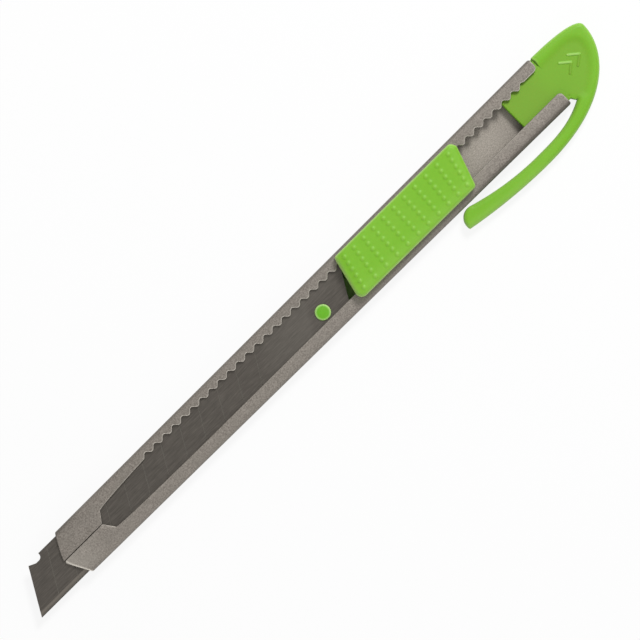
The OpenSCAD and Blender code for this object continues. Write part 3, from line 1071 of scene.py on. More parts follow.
    def face_wear_and_light(self, x: float, lost: float, point: Point) -> float:
        """Wear and painted light of the outer face: bright rear ends, part wear and part painted highlight;
        a painted highlight on the plain lip, most at the nose and along its front edge; and painted shade
        on the folds.

        Args:
            x: Place of the station along the sleeve.
            lost: Rounding that the section has lost there.
            point: The point.

        Returns:
            The value there, above zero where it is bright, below zero where shade is painted.
        """
        # Bright rear end roundings: part wear, part painted highlight.
        if x < 0 and lost > 0:
            return lost / self.end_round
        if point[2] < self.height / 2:
            return 0.0
        ramp = self.nose_ramp(x)
        fold = soft_step(abs(point[1]), *(self.wall(x) - band for band in self.fold_band))
        if point[1] < 0:
            return -self.fold_shade * (self.tooth_fold + (1 - self.tooth_fold) * ramp) * fold
        # Bright line along the plain half of the nose's front edge: part burr wear, part painted highlight.
        tip = soft_step(x, self.nose - self.nose_band, self.nose - self.nose_round)
        # Painted highlight on the plain lip, painted shade on its fold.
        shade = self.plain_fold * self.fold_shade * ramp + self.rear_shade * soft_step(-x, *self.rear_run)
        body = self.painted_sheen + self.nose_painted_sheen * ramp - shade * fold
        return body + (1 - body) * tip

    def floor_painted_shadow(self, point: Point) -> float:
        """Painted shadow on the inner face in front of the cap's tongue, darkest in the corner at the plain
        wall.

        Args:
            point: The point.

        Returns:
            The value there, below zero where shadow is painted.
        """
        # Painted shadow: a band ahead of the tongue and a darker patch in its corner at the plain wall.
        ahead = point[0] - self.painted_shadow_from
        spread = self.painted_shadow * (1 - soft_step(ahead, 0.0, self.painted_shadow_run))
        corner = self.painted_corner_shadow * (1 - soft_step(ahead, *self.painted_corner_shadow_run))
        corner *= soft_step(point[1], *self.painted_corner_shadow_side)
        return -(spread + corner) * soft_step(ahead, *self.painted_shadow_hidden)

    def section(self, draft: MeshDraft, x: float, lost: float) -> tuple[list[int], ...]:
        """Draws the section at one station.

        Args:
            draft: The mesh that takes its points.
            x: Place along the sleeve.
            lost: Rounding that the section has lost there.

        Returns:
            Numbers of the points outside, on the toothed lip's edge, inside, and on the plain lip's edge.
        """
        trim = self.corner_step(x, self.wall_corner)
        edges = {1: self.plain_edge(x), -1: self.tooth_edge(x)}
        wall = self.wall(x)
        rim = self.edge_round(x)
        lean = self.nose_ramp(x) * self.nose_point / (self.front_half - self.nose_blunt)

        def placed(points: Iterable[Flat], side: int) -> list[Point]:
            """Sets section points into the frame, with the nose drawn back to its point."""
            return [(x - lean * max(0.0, y - self.nose_blunt), side * y, z) for y, z in points]

        def sheet_face(inner: bool) -> list[int]:
            """Adds one face of the sheet, from the plain lip to the toothed lip.

            Args:
                inner: Whether it is the inside of the sheet.

            Returns:
                Numbers of its points.
            """
            plain = placed(self.half_section(edges[1], rim, wall, trim, lost, inner), 1)
            tooth = placed(self.half_section(edges[-1], rim, wall, trim, lost, inner), -1)
            row = plain + tooth[-2::-1]
            # Inside: painted shadow. Outside: wear, painted highlight and painted fold shade.
            worn = [self.floor_painted_shadow(p) if inner else self.face_wear_and_light(x, lost, p) for p in row]
            return draft.add_points(row, worn)

        def lip(side: int) -> list[int]:
            """Adds the rounded edge of one lip, bright at its top from wear and painted highlight.

            Args:
                side: 1 for the plain lip, -1 for the toothed lip.

            Returns:
                Numbers of its points.
            """
            points = self.lip_edge(edges[side], rim, lost)
            top = self.lip_wear_and_highlight(x, side)
            worn = [top if i < self.lip_steps else self.under_wear_and_highlight * top for i in range(len(points))]
            return draft.add_points(placed(points, side), worn)

        return sheet_face(False), lip(-1), sheet_face(True), lip(1)

    def build(self, outside: Material, inside: Material) -> Item:
        """Builds the sleeve.

        Args:
            outside: Material of its outer face and its edges.
            inside: Material of its inner face.

        Returns:
            The sleeve, riding on its own body.
        """
        draft = MeshDraft()
        drawn = [self.section(draft, x, lost) for x, lost in self.stations()]
        strips = []
        for outer, tooth, inner, plain in drawn:
            strips.append((outer, [outer[-1], *tooth, inner[-1]], [outer[0], *plain, inner[0]], inner))
        for first, second in zip(strips, strips[1:]):
            for number, (near, far) in enumerate(zip(first, second)):
                draft.bridge(near, far, closed=False, finish=1 if number == 3 else 0)
        for outer, tooth, plain, inner in (strips[0], strips[-1]):
            draft.bridge(outer, inner, closed=False)
            draft.add_face(tooth)
            draft.add_face(plain)
        piece = draft.to_object("folded_sleeve", [outside, inside], self.sharp)
        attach(piece, "sleeve")
        return dress(piece, "sleeve_steel", "sleeve")


@dataclass
class Blade:
    """The scored strip, with its ground edge, stud hole and notch."""

    half: float = 4.5
    foot: float = 2.15
    thick: float = 0.4
    front: float = 71.008
    slant: float = 0.57735
    score_pitch: float = 4.87
    score_count: int = 12
    score_depth: float = 0.06
    score_half: float = 0.11
    bevel: float = 0.9
    land: float = 0.02
    spine_round: float = 0.05
    score_rim: float = 0.16
    score_wear: Flat = (0.25, 0.5)
    ground_wear: tuple[Flat, ...] = ((-0.1, 0.0), (0.0, 0.3), (0.25, 0.42), (0.6, 0.12), (0.9, -0.6))
    tail_wear: tuple[Flat, ...] = ((-9.792, 0.0), (0.0, 0.2), (9.0, 0.12))
    sharp: float = 20.0
    clear: float = 1.0
    hole_steps: int = 72
    notch_steps: int = 14
    hole: Point = (-3.235, 0.86, 1.57)
    notch: Point = (66.54, -4.3, 0.85)
    notch_ramp: tuple[Flat, ...] = ((67.29, -3.45), (68.65, -4.08), (69.6, -4.6))

    def score_fall(self, s: float) -> float:
        """How deep the nearest score line lies below the face.

        Args:
            s: Place along the blade at its centre line.

        Returns:
            The depth there.
        """
        number = min(self.score_count, max(1, round((self.front - s) / self.score_pitch)))
        off = abs(s - (self.front - number * self.score_pitch))
        return self.score_depth * max(0.0, 1 - off / self.score_half)

    def surface(self, s: float, y: float, upper: bool) -> float:
        """Height of a face of the blade.

        Args:
            s: Place along the blade at its centre line.
            y: Distance from the centre line.
            upper: Whether it is the upper face.

        Returns:
            The height there.
        """
        middle = self.thick / 2
        ground = (middle - self.land) * max(0.0, y - self.half + self.bevel) / self.bevel
        spine = self.spine_round if y <= -self.half else 0.0
        cut = self.score_fall(s) if upper else 0.0
        depth = max(ground, spine, min(cut, self.thick / 2))
        return self.foot + (self.thick - depth if upper else depth)

    def build(self, face: Material, ground: Material) -> Item:
        """Builds the blade.

        Args:
            face: Material of its faces.
            ground: Material of its ground edge.

        Returns:
            The blade, riding on the slider.
        """
        near, deep = self.score_wear
        half_score = ((self.score_rim, 0.0), (self.score_half, near))
        score = [(-off, worn) for off, worn in half_score] + [(0.0, deep), *reversed(half_score)]
        along = list(self.tail_wear)
        for i in range(self.score_count, 0, -1):
            along += [(self.front - i * self.score_pitch + off, worn) for off, worn in score]
        along.append((self.front, 0.0))
        start = self.half - self.bevel
        band = [(start + off, worn) for off, worn in self.ground_wear]
        across = [(-self.half, 0.0), (self.spine_round - self.half, 0.0), (0.0, 0.0), *band]
        draft = MeshDraft()
        rows = []
        for s, worn in along:
            upper = [(s + self.slant * y, y, self.surface(s, y, True)) for y, _ in across]
            lower = [(s + self.slant * y, y, self.surface(s, y, False)) for y, _ in reversed(across)]
            rubbed = [worn + shine if y < start else shine for y, shine in across]
            rows.append(draft.add_points(upper + lower, rubbed + [0.0] * len(lower)))
        count = len(across)
        ground_from = count - len(band) + 1
        for first, second in zip(rows, rows[1:]):
            for i in range(2 * count):
                j = (i + 1) % (2 * count)
                on_edge = ground_from <= i <= 2 * count - 2 - ground_from
                draft.add_face((first[i], first[j], second[j], second[i]), 1 if on_edge else 0)
        for row in (rows[0], rows[-1]):
            for i in range(count - 1):
                draft.add_face((row[i], row[i + 1], row[2 * count - 2 - i], row[2 * count - 1 - i]))
        piece = draft.to_object("scored_blade", [face, ground], self.sharp)
        levels = (self.foot - self.clear, self.foot + self.thick + self.clear)
        punch(piece, arc(self.hole[:2], self.hole[2], 0, 360, self.hole_steps)[:-1], levels, self.sharp)
        bay = [*arc(self.notch[:2], self.notch[2], 180, 90, self.notch_steps), *self.notch_ramp]
        outside = -self.half - self.clear
        punch(piece, [*bay, (bay[-1][0], outside), (bay[0][0], outside)], levels, self.sharp)
        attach(piece, "slider")
        return dress(piece, "blade_steel", "snap_off_blade")


@dataclass
class SliderCarriage:
    """The thumb button with its grip dots, the carrier with its stud, and the detent spring."""

    button_front: float = -10.7
    button_length: float = 30.6
    button_middle: float = -0.34
    button_width: float = 9.14
    button_foot: float = 3.35
    button_top: float = 5.75
    front_slant: float = 2.2
    rear_slant: float = 3.1
    corner_cut: float = 1.15
    edge_round: float = 0.8
    edge_band: float = 0.45
    dish: float = 0.28
    dot_columns: int = 11
    dot_rows: int = 6
    dot_margin: float = 1.85
    row_margin: float = 1.33
    dot_fan: float = 0.00855
    dot_radius: float = 0.58
    dot_height: float = 0.17
    dot_flat: float = 0.2
    dot_rings: tuple[tuple[float, int], ...] = ((1.1, 16), (0.9, 16), (0.7, 14), (0.45, 10), (0.2, 6))
    # Button top: dots pale from wear and painted highlight, painted shade round the dots and at the rear,
    # painted highlight at the front.
    dot_rub_and_highlight: float = 0.18
    dot_fade: Flat = (0.3, 0.9)
    crease_painted_shade: float = 0.09
    crease_start: Flat = (0.6, 0.9)
    crease_end: Flat = (0.95, 1.2)
    side_paling: float = 0.15
    side_run: Flat = (1.2, 3.6)
    front_painted_highlight: float = 0.36
    front_run: Flat = (0.005, 0.035)
    rear_painted_shade: float = 0.35
    rear_run: Flat = (0.97, 0.995)
    brink: float = 0.3
    brink_run: float = 0.075
    corner_rounds: tuple[float, ...] = (0.55, 1.3, 0.8, 1.0, 1.0)
    corner_steps: int = 7
    button_sharp: float = 50.0
    foot_round: float = 0.12
    block_rounds: Flat = (0.3, 0.15)
    body_low: Point = (-38.71, -4.35, 0.6)
    body_high: Point = (-13.29, 4.35, 2.6)
    tongue_end: float = -0.24
    tongue_top: float = 2.15
    tongue_lap: float = 1.0
    tongue_inset: float = 0.02
    tongue_lift: float = 0.01
    neck_low: Point = (-37.31, -1.58, 2.3)
    neck_high: Point = (-14.11, 2.3, 3.4)
    pocket_low: Point = (-31.36, -3.55, 1.4)
    pocket_high: Point = (-14.61, -1.6, 3.0)
    eye: Point = (-31.81, -1.88, 0.6)
    eye_steps: int = 32
    over: float = 1.0
    recess: tuple[Flat, ...] = ((-13.29, -3.75), (-11.557, -3.75), (-7.227, 3.75), (-13.29, 3.75))
    recess_floor: float = 1.0
    recess_painted_shade: Flat = (-0.6, -0.8)
    stud: Flat = (-3.235, 0.86)
    stud_radius: float = 1.52
    stud_top: float = 3.0
    stud_round: float = 0.25
    stud_dome: float = 0.08
    stud_lap: float = 0.4
    stud_steps: int = 64

    def button_spot(self, along: float, y: float) -> Flat:
        """Places a spot on the button's slanted plan.

        Args:
            along: Share of the way from front to rear.
            y: Distance from the sleeve's centre line.

        Returns:
            The spot.
        """
        slant = self.front_slant + (self.rear_slant - self.front_slant) * along
        x = self.button_front - self.button_length * along
        return x + slant * (y - self.button_middle) / self.button_width, y

    def share(self, spots: np.ndarray) -> np.ndarray:
        """Works out how far along the button each spot lies.

        Args:
            spots: Spots in plan.

        Returns:
            Shares of the way from front to rear.
        """
        across = (spots[:, 1] - self.button_middle) / self.button_width
        bare = self.button_front + self.front_slant * across - spots[:, 0]
        return bare / (self.button_length - (self.rear_slant - self.front_slant) * across)

    def dots(self) -> list[Flat]:
        """Lays out the grip dots, in columns that fan out towards the ends.

        Returns:
            The centres of the dots.
        """
        step = (self.button_length - 2 * self.dot_margin) / (self.dot_columns - 1)
        row = (self.button_width - 2 * self.row_margin) / (self.dot_rows - 1)
        centres = []
        for i in range(self.dot_columns):
            fan = self.dot_fan * (i - (self.dot_columns - 1) / 2) ** 2
            for j in range(self.dot_rows):
                y = (j - (self.dot_rows - 1) / 2) * row
                x = self.button_front - self.dot_margin - i * step + fan * y
                centres.append((x, self.button_middle + y))
        return centres

    def button_level(self, spots: np.ndarray) -> np.ndarray:
        """Upper level of the button: a shallow dish for the thumb, with domed dots.

        Args:
            spots: Spots in plan.

        Returns:
            The level at each spot.
        """
        along = self.share(spots)
        dish = self.dish * (1 - (2 * along - 1) ** 2)
        brink = self.brink * (1 - soft_step(np.minimum(along, 1 - along), 0.0, self.brink_run))
        dome = self.dot_height * (1 - soft_step(self.dot_off(spots) / self.dot_radius, self.dot_flat, 1.0))
        return self.button_top - dish - brink + dome

    def dot_off(self, spots: np.ndarray) -> np.ndarray:
        """Distance of each spot from the nearest grip dot's centre."""
        centres = np.array(self.dots())
        return np.linalg.norm(spots[:, None, :] - centres[None, :, :], axis=2).min(axis=1)

    def button_wear_and_light(self, spots: np.ndarray) -> np.ndarray:
        """Wear and painted light of the button: pale dots from wear and painted highlight, painted shade
        round their feet, a painted highlight at the front, paler towards the clip's side, and painted shade
        at the rear.

        Args:
            spots: Spots in plan.

        Returns:
            The value at each spot.
        """
        off = self.dot_off(spots) / self.dot_radius
        dots = self.dot_rub_and_highlight * (1 - soft_step(off, *self.dot_fade))
        crease = soft_step(off, *self.crease_start) * (1 - soft_step(off, *self.crease_end))
        along = self.share(spots)
        side = self.side_paling * soft_step(spots[:, 1], *self.side_run)
        front = self.front_painted_highlight * (1 - soft_step(along, *self.front_run))
        rear = self.rear_painted_shade * soft_step(along, *self.rear_run)
        # Painted shade in the creases and at the rear; painted highlight on the dots and the front.
        return dots - self.crease_painted_shade * crease + side + front - rear

    def build_button(self, plastic: Material) -> Item:
        """Builds the thumb button.

        Args:
            plastic: Its material.

        Returns:
            The button, riding on the slider.
        """
        low = self.button_middle - self.button_width / 2
        high = self.button_middle + self.button_width / 2
        cut = self.corner_cut / self.button_length
        corners = [
            self.button_spot(0, low),
            self.button_spot(0, high),
            self.button_spot(1, high),
            self.button_spot(1, low + self.corner_cut),
            self.button_spot(1 - cut, low),
        ]
        outline: list[Flat] = []
        for i, radius in enumerate(self.corner_rounds):
            onward = corners[(i + 1) % len(corners)]
            outline += round_corner(corners[i - 1], corners[i], onward, radius, self.corner_steps)
        grips: list[Flat] = []
        for centre in self.dots():
            grips.append(centre)
            for share, count in self.dot_rings:
                grips += arc(centre, share * self.dot_radius, 0, 360, count)[:-1]
        run = Run(outline, self.edge_round, self.foot_round)
        plan = PlanSolid([run], spacing=0.5, grid=0.65, edge_band=self.edge_band, extras=grips)
        draft = plan.draft(self.button_level, flat_level(self.button_foot), self.button_wear_and_light)
        piece = draft.to_object("thumb_button", [plastic], self.button_sharp)
        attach(piece, "slider")
        return dress(piece, "button_plastic", "slider_button")

    def build_carrier(self, plastic: Material) -> Item:
        """Builds the carrier under the blade, with the button's neck and a recess behind the blade, whose
        floor has painted shade.

        Args:
            plastic: Its material.

        Returns:
            The carrier, riding on the slider.
        """

        def solid(low: Point, high: Point, name: str) -> Item:
            """Makes one rounded block of the moulding."""
            plan = block(low, high, *self.block_rounds)
            return plan.draft(flat_level(high[2]), flat_level(low[2])).to_object(name, [plastic])

        piece = solid(self.body_low, self.body_high, "carrier_moulding")
        combine(piece, solid(self.pocket_low, self.pocket_high, "pocket"), Join.CUT)
        back = self.body_high[0] - self.tongue_lap
        tongue_low = (back, self.body_low[1] + self.tongue_inset, self.body_low[2] + self.tongue_lift)
        tongue_high = (self.tongue_end, self.body_high[1] - self.tongue_inset, self.tongue_top)
        combine(piece, solid(tongue_low, tongue_high, "tongue"), Join.WELD)
        combine(piece, solid(self.neck_low, self.neck_high, "neck"), Join.WELD)
        socket = arc(self.eye[:2], self.eye[2], 0, 360, self.eye_steps)[:-1]
        punch(piece, socket, (self.pocket_low[2], self.neck_high[2] + self.over))
        punch(piece, self.recess, (self.recess_floor, self.tongue_top + self.over))
        # Painted shade on the recess floor, darker on the plain side.
        worn = piece.data.attributes[WEAR_AND_LIGHT].data
        for vertex in piece.data.vertices:
            if abs(vertex.co.z - self.recess_floor * MM) < TINY:
                worn[vertex.index].value = self.recess_painted_shade[int(vertex.co.y > 0)]
        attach(piece, "slider")
        return dress(piece, "carrier_plastic", "blade_carrier")

    def build_stud(self, plastic: Material) -> Item:
        """Builds the stud on the carrier, which holds the blade by its hole.

        Args:
            plastic: Its material.

        Returns:
            The stud, riding on the slider.
        """
        ring = arc(self.stud, self.stud_radius, 0, 360, self.stud_steps)[:-1]
        # The pale band along the stud's rounded rim is a painted highlight.
        plan = PlanSolid([Run(ring, self.stud_round)], spacing=0.3, grid=0.12, edge_band=0.5)
        draft = plan.draft(self.stud_level, flat_level(self.tongue_top - self.stud_lap))
        piece = draft.to_object("blade_stud", [plastic])
        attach(piece, "slider")
        return dress(piece, "carrier_plastic")

    def stud_level(self, spots: np.ndarray) -> np.ndarray:
        """Upper level of the stud, very slightly domed."""
        off = np.linalg.norm(spots - np.array(self.stud), axis=1)
        return self.stud_top - self.stud_dome * (off / self.stud_radius) ** 2

    def dress_spring(self, steel: Material) -> Item:
        """Gives the detent spring its finish.

        Args:
            steel: Its material.

        Returns:
            The spring.
        """
        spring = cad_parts["detent_spring"]
        spring.data.materials.clear()
        spring.data.materials.append(steel)
        return dress(spring, "spring_steel")


@dataclass
class EndCap:
    """The green cap behind the sleeve, its tongue inside the sleeve, and the pocket clip on its side."""

    shoulder: float = -63.85
    side: float = -5.551
    heel: Flat = (-75.2, -3.131)
    side_pull: Flat = (-70.69, -5.551)
    heel_ease: Flat = (-75.2, -4.781)
    heel_pull: Flat = (-75.2, 3.129)
    crest_pull: Flat = (-68.7, 10.8008)
    crest: Flat = (-52.5, 10.8008)
    nip: Flat = (-35.91, 8.42)
    nip_radius: float = 2.46
    nip_start: float = 16.0
    nip_end: float = -105.0
    heel_steps: int = 40
    nip_steps: int = 22
    outer_steps: int = 24
    inner_steps: int = 56
    inner_crest: Flat = (-51.8, 8.251)
    gap_root: Flat = (-64.52, 5.971)
    shelf: float = 4.951
    foot: float = 0.1
    rim: float = 2.6
    panel: float = 2.35
    panel_side: float = -3.4
    panel_edge: float = 1.8
    panel_share_run: Flat = (0.3, 0.6)
    panel_bend: Flat = (-68.8, -73.6)
    panel_pull: Flat = (-73.2, -0.44)
    panel_over: Flat = (2.0, 1.0)
    panel_steps: int = 50
    panel_turn_steps: int = 16
    panel_rows: tuple[float, ...] = (-1.0, -0.66, -0.33, 0.0, 0.33, 0.66, 1.0)
    panel_soft: float = 0.8
    panel_dull: float = 0.6
    # Painted highlight along the clip's outer edge.
    clip_painted_highlight: float = 0.34
    clip_highlight_run: Flat = (-58.0, -46.0)
    clip_highlight_depth: Flat = (0.2, 1.9)
    clip_foot: float = 0.5
    clip_top: float = 2.5
    cap_rounds: Flat = (0.9, 0.5)
    clip_rounds: Flat = (0.75, 0.6)
    inner_rounds: Flat = (0.9, 0.6)
    root_rounds: Flat = (0.25, 0.25)
    rim_rounds: Flat = (0.3, 0.3)
    sharp: float = 50.0
    edge_band: float = 0.55
    edge_wear_and_highlight: float = 0.8
    root_lap: float = 0.1
    tongue_half: float = 5.0
    tongue_front: float = -53.9
    tongue_foot: float = 0.55
    tongue_lap: float = 0.4
    tongue_corner: float = 0.4
    tongue_rounds: Flat = (0.25, 0.2)
    tongue_drop: float = 0.005
    tongue_fade: float = 4.0
    groove: float = 0.24
    groove_end: float = -63.3
    groove_side: float = -3.5
    groove_soft: Flat = (0.25, 0.5)
    groove_over: Flat = (0.5, 0.3)
    groove_inset: float = 0.1
    groove_grid: float = 0.14
    collar_low: Point = (-64.1, -5.4, 0.3)
    collar_high: Point = (-63.35, 4.8, 1.6)
    collar_rounds: Flat = (0.12, 0.08)
    bend_start: Flat = (-64.7, 7.65)
    bend_end: Flat = (-59.7, 9.08)
    bend_run: Flat = (-0.2, 1.0)
    mark_rise: float = 0.16
    mark_soft: Flat = (0.15, 0.3)
    # Painted shade on the chevron arms on the clip's side.
    mark_painted_shade: float = 0.4
    mark_margin: float = 0.4
    mark_grid: float = 0.09
    marks: tuple[tuple[Flat, Flat, Flat], ...] = (
        ((-66.9, -1.2), (-68.65, 0.24), (-67.0, 1.58)),
        ((-69.06, -1.21), (-70.83, 0.22), (-69.06, 1.56)),
    )

    def outer_edge(self, x: Any) -> Any:
        """Outer edge of the clip ahead of its crest.

        Args:
            x: Place along the clip, or an array of places.

        Returns:
            Distance from the centre line.
        """
        end = arc(self.nip, self.nip_radius, self.nip_start, self.nip_start, 1)[0]
        fall = (self.crest[1] - end[1]) / (end[0] - self.crest[0]) ** 2
        return self.crest[1] - fall * (x - self.crest[0]) ** 2

    def inner_edge(self, x: float, start: Flat) -> float:
        """Inner edge of the clip.

        Args:
            x: Place along the clip.
            start: Where the edge leaves the clip's round end.

        Returns:
            Distance from the centre line.
        """
        top, peak = self.inner_crest[1], self.inner_crest[0]
        if x > peak:
            return top - (top - start[1]) * ((x - peak) / (start[0] - peak)) ** 2
        return top - (top - self.gap_root[1]) * ((peak - x) / (peak - self.gap_root[0])) ** 3

    def outline(self) -> list[Run]:
        """Draws the plan of the cap and the clip together.

        Returns:
            The stretches of the outline, in order.
        """
        body = bezier((self.shoulder, self.side), self.side_pull, self.heel_ease, self.heel)
        body += bezier(self.heel, self.heel_pull, self.crest_pull, self.crest, self.heel_steps)
        end = arc(self.nip, self.nip_radius, self.nip_start, self.nip_end, self.nip_steps)
        first, last = end[0], end[-1]
        ahead = first[0] - self.crest[0]
        spine = [self.crest[0] + ahead * i / self.outer_steps for i in range(self.outer_steps)]
        outer = [(x, self.outer_edge(x)) for x in spine]
        behind = self.gap_root[0] - last[0]
        back = [last[0] + behind * i / self.inner_steps for i in range(1, self.inner_steps)]
        inner = [(x, self.inner_edge(x, last)) for x in back]
        rim_end = self.panel_side - self.panel_soft
        return [
            Run(body, *self.cap_rounds),
            Run(outer + end, *self.clip_rounds),
            Run(inner, *self.inner_rounds),
            Run([self.gap_root], *self.root_rounds),
            Run([(self.shoulder, self.shelf)]),
            Run([(self.shoulder, rim_end)], *self.rim_rounds),
        ]

    def panel_line(self) -> list[Flat]:
        """Draws the outline of the shallow panel in the cap's face.

        Returns:
            The points of the outline.
        """
        ahead = self.shoulder + self.panel_over[0]
        back = np.array(bezier(self.heel, self.heel_pull, self.crest_pull, self.crest, self.panel_steps))
        way = np.gradient(back, axis=0)
        way /= np.linalg.norm(way, axis=1, keepdims=True)
        inside = back + self.panel_edge * np.column_stack([way[:, 1], -way[:, 0]])
        first, last = (round(share * self.panel_steps) for share in self.panel_share_run)
        follow = [tuple(p) for p in inside[first : last + 1]]
        turn = [(x, self.panel_side) for x in self.panel_bend]
        curve = bezier(*turn, self.panel_pull, follow[0], self.panel_turn_steps)
        root = (self.gap_root[0] - self.root_lap, self.gap_root[1])
        corner = (ahead, self.gap_root[1] + self.panel_over[1])
        return [corner, (ahead, self.panel_side), *curve, *follow, root]

    def clip_share(self, spots: np.ndarray) -> np.ndarray:
        """Works out how far each spot has passed from the cap into the clip.

        Args:
            spots: Spots in plan.

        Returns:
            0 on the cap, 1 on the clip.
        """
        way = np.array(self.bend_end) - np.array(self.bend_start)
        along = (spots - np.array(self.bend_start)) @ way / (way @ way)
        return soft_step(along, *self.bend_run)

    def stroke(self, spots: np.ndarray, arm: int) -> np.ndarray:
        """Works out which spots lie on one arm of the chevrons that show which way the cap pulls off.

        Args:
            spots: Spots in plan.
            arm: 0 for the arms on the spine's side, 1 for those on the clip's side.

        Returns:
            1 on the arms, 0 off them.
        """
        near = np.full(len(spots), math.inf)
        for mark in self.marks:
            a, b = np.array(mark[arm]), np.array(mark[arm + 1])
            along = np.clip((spots - a) @ (b - a) / ((b - a) @ (b - a)), 0.0, 1.0)
            near = np.minimum(near, np.linalg.norm(spots - a - along[:, None] * (b - a), axis=1))
        return 1 - soft_step(near, *self.mark_soft)

    def mark_level(self, spots: np.ndarray) -> np.ndarray:
        """Relief of the two small chevrons."""
        return self.mark_rise * np.maximum(self.stroke(spots, 0), self.stroke(spots, 1))

    def top_level(self, spots: np.ndarray) -> np.ndarray:
        """Upper level of the cap and the clip."""
        rim = self.rim + (self.clip_top - self.rim) * self.clip_share(spots)
        return rim - (self.rim - self.panel) * self.panel_share(spots) + self.mark_level(spots)

    def panel_share(self, spots: np.ndarray) -> np.ndarray:
        """Works out how far each spot has passed from the rim into the panel.

        Args:
            spots: Spots in plan.

        Returns:
            0 on the rim, 1 in the panel.
        """
        panel = PlanSolid([Run(self.panel_line())], spacing=0.3)
        reach = panel.distances(spots).min(axis=1) * np.where(panel.inside(spots), 1, -1)
        return soft_step(reach, -self.panel_soft, self.panel_soft)

    def cap_tone_and_light(self, spots: np.ndarray) -> np.ndarray:
        """Tone of the cap: duller in the panel, with painted highlight on the chevron arms on the spine's
        side, painted shade on those on the clip's side, and painted highlight on the clip's outer edge.

        Args:
            spots: Spots in plan.

        Returns:
            The value at each spot.
        """
        # Chevron arms: painted highlight on the spine's side, painted shade on the clip's side.
        marks = (1 + self.panel_dull) * self.stroke(spots, 0) - self.mark_painted_shade * self.stroke(spots, 1)
        depth = self.outer_edge(spots[:, 0]) - spots[:, 1]
        # Painted highlight along the clip's outer edge.
        outer = soft_step(spots[:, 0], *self.clip_highlight_run) * (1 - soft_step(depth, *self.clip_highlight_depth))
        return marks + self.clip_painted_highlight * outer - self.panel_dull * self.panel_share(spots)

    def tongue_dull_and_shade(self, spots: np.ndarray) -> np.ndarray:
        """Tone of the tongue, which goes on from the duller panel and takes painted shade inside the
        sleeve.
        """
        # Painted shade on the tongue inside the sleeve.
        inside = soft_step(spots[:, 0], self.shoulder, self.shoulder + self.tongue_fade)
        return -self.panel_dull - (1 - self.panel_dull) * inside

    def tongue_level(self, spots: np.ndarray) -> np.ndarray:
        """Upper level of the tongue, with a groove along the rim's front.

        Args:
            spots: Spots in plan.

        Returns:
            The level at each spot.
        """
        ahead = 1 - soft_step(spots[:, 0], self.groove_end, self.groove_end + self.groove_soft[0])
        aside = 1 - soft_step(spots[:, 1], self.groove_side - self.groove_soft[1], self.groove_side)
        return self.panel - self.tongue_drop - self.groove * ahead * aside

    def foot_level(self, spots: np.ndarray) -> np.ndarray:
        """Lower level of the cap and the clip."""
        return self.foot + (self.clip_foot - self.foot) * self.clip_share(spots)

    def relief_spots(self) -> list[Flat]:
        """Places the extra points that carry the panel's soft step and the chevrons.

        Returns:
            The points.
        """
        spots: list[Flat] = []
        panel = PlanSolid([Run(self.panel_line())], spacing=0.35)
        for share in self.panel_rows:
            spots += [tuple(p) for p in panel.line + panel.inward * share * self.panel_soft]
        for mark in self.marks:
            xs, ys = [p[0] for p in mark], [p[1] for p in mark]
            across = np.arange(min(xs) - self.mark_margin, max(xs) + self.mark_margin, self.mark_grid)
            up = np.arange(min(ys) - self.mark_margin, max(ys) + self.mark_margin, self.mark_grid)
            spots += [(float(x), float(y)) for x in across for y in up]
        return spots

    def build_cap(self, plastic: Material) -> Item:
        """Builds the cap and the clip as the one moulding that they are.

        Args:
            plastic: Its material.

        Returns:
            The moulding, whose levels blend from the cap's body into the clip's.
        """
        relief = self.relief_spots()
        plan = PlanSolid(self.outline(), edge_band=self.edge_band, edge_wear_and_highlight=self.edge_wear_and_highlight, extras=relief)
        draft = plan.draft(self.top_level, self.foot_level, self.cap_tone_and_light)
        piece = draft.to_object("cap_and_clip", [plastic], self.sharp)
        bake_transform(piece)
        return dress(piece, "cap_plastic", "end_cap", "pocket_clip")

    def build_tongue(self, plastic: Material) -> Item:
        """Builds the cap's tongue, which reaches into the sleeve, and the collar at the sleeve's end.

        Args:
            plastic: Its material.

        Returns:
            The tongue, riding on the cap.
        """
        half, back = self.tongue_half, self.shoulder - self.tongue_lap
        front = self.tongue_front
        nose = round_corner((back, -half), (front, -half), (front, half), self.tongue_corner, steps=4)
        nose += [(x, -y) for x, y in reversed(nose)]
        runs = [Run([(back, half), (back, 0.0)]), Run([(back, -half), *nose], *self.tongue_rounds)]
        reach, rise = self.groove_over
        across = np.arange(back + self.groove_inset, self.groove_end + reach, self.groove_grid)
        up = np.arange(self.groove_inset - half, self.groove_side + rise, self.groove_grid)
        groove = [(float(x), float(y)) for x in across for y in up]
        plan = PlanSolid(runs, spacing=0.5, grid=0.8, edge_band=0.3, extras=groove)
        draft = plan.draft(self.tongue_level, flat_level(self.tongue_foot), self.tongue_dull_and_shade)
        collar = block(self.collar_low, self.collar_high, *self.collar_rounds)
        draft.absorb(collar.draft(flat_level(self.collar_high[2]), flat_level(self.collar_low[2])))
        piece = draft.to_object("cap_tongue", [plastic], self.sharp)
        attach(piece, "cap")
        return dress(piece, "cap_plastic")


@dataclass
class Lamp:
    """One soft lamp, aimed at the knife."""

    name: str
    place: Point
    size: float
    power: float

    def build(self) -> Item:
        """Hangs the lamp.

        Returns:
            The lamp.
        """
        light = bpy.data.lights.new(self.name, "AREA")
        light.shape = "DISK"
        light.size = self.size
        light.energy = self.power
        lamp = bpy.data.objects.new(self.name, light)
        lamp.location = self.place
        lamp.rotation_mode = "QUATERNION"
        lamp.rotation_quaternion = (-Vector(self.place)).to_track_quat("-Z", "Y")
        lamp.visible_camera = False
        bpy.context.scene.collection.objects.link(lamp)
        return lamp


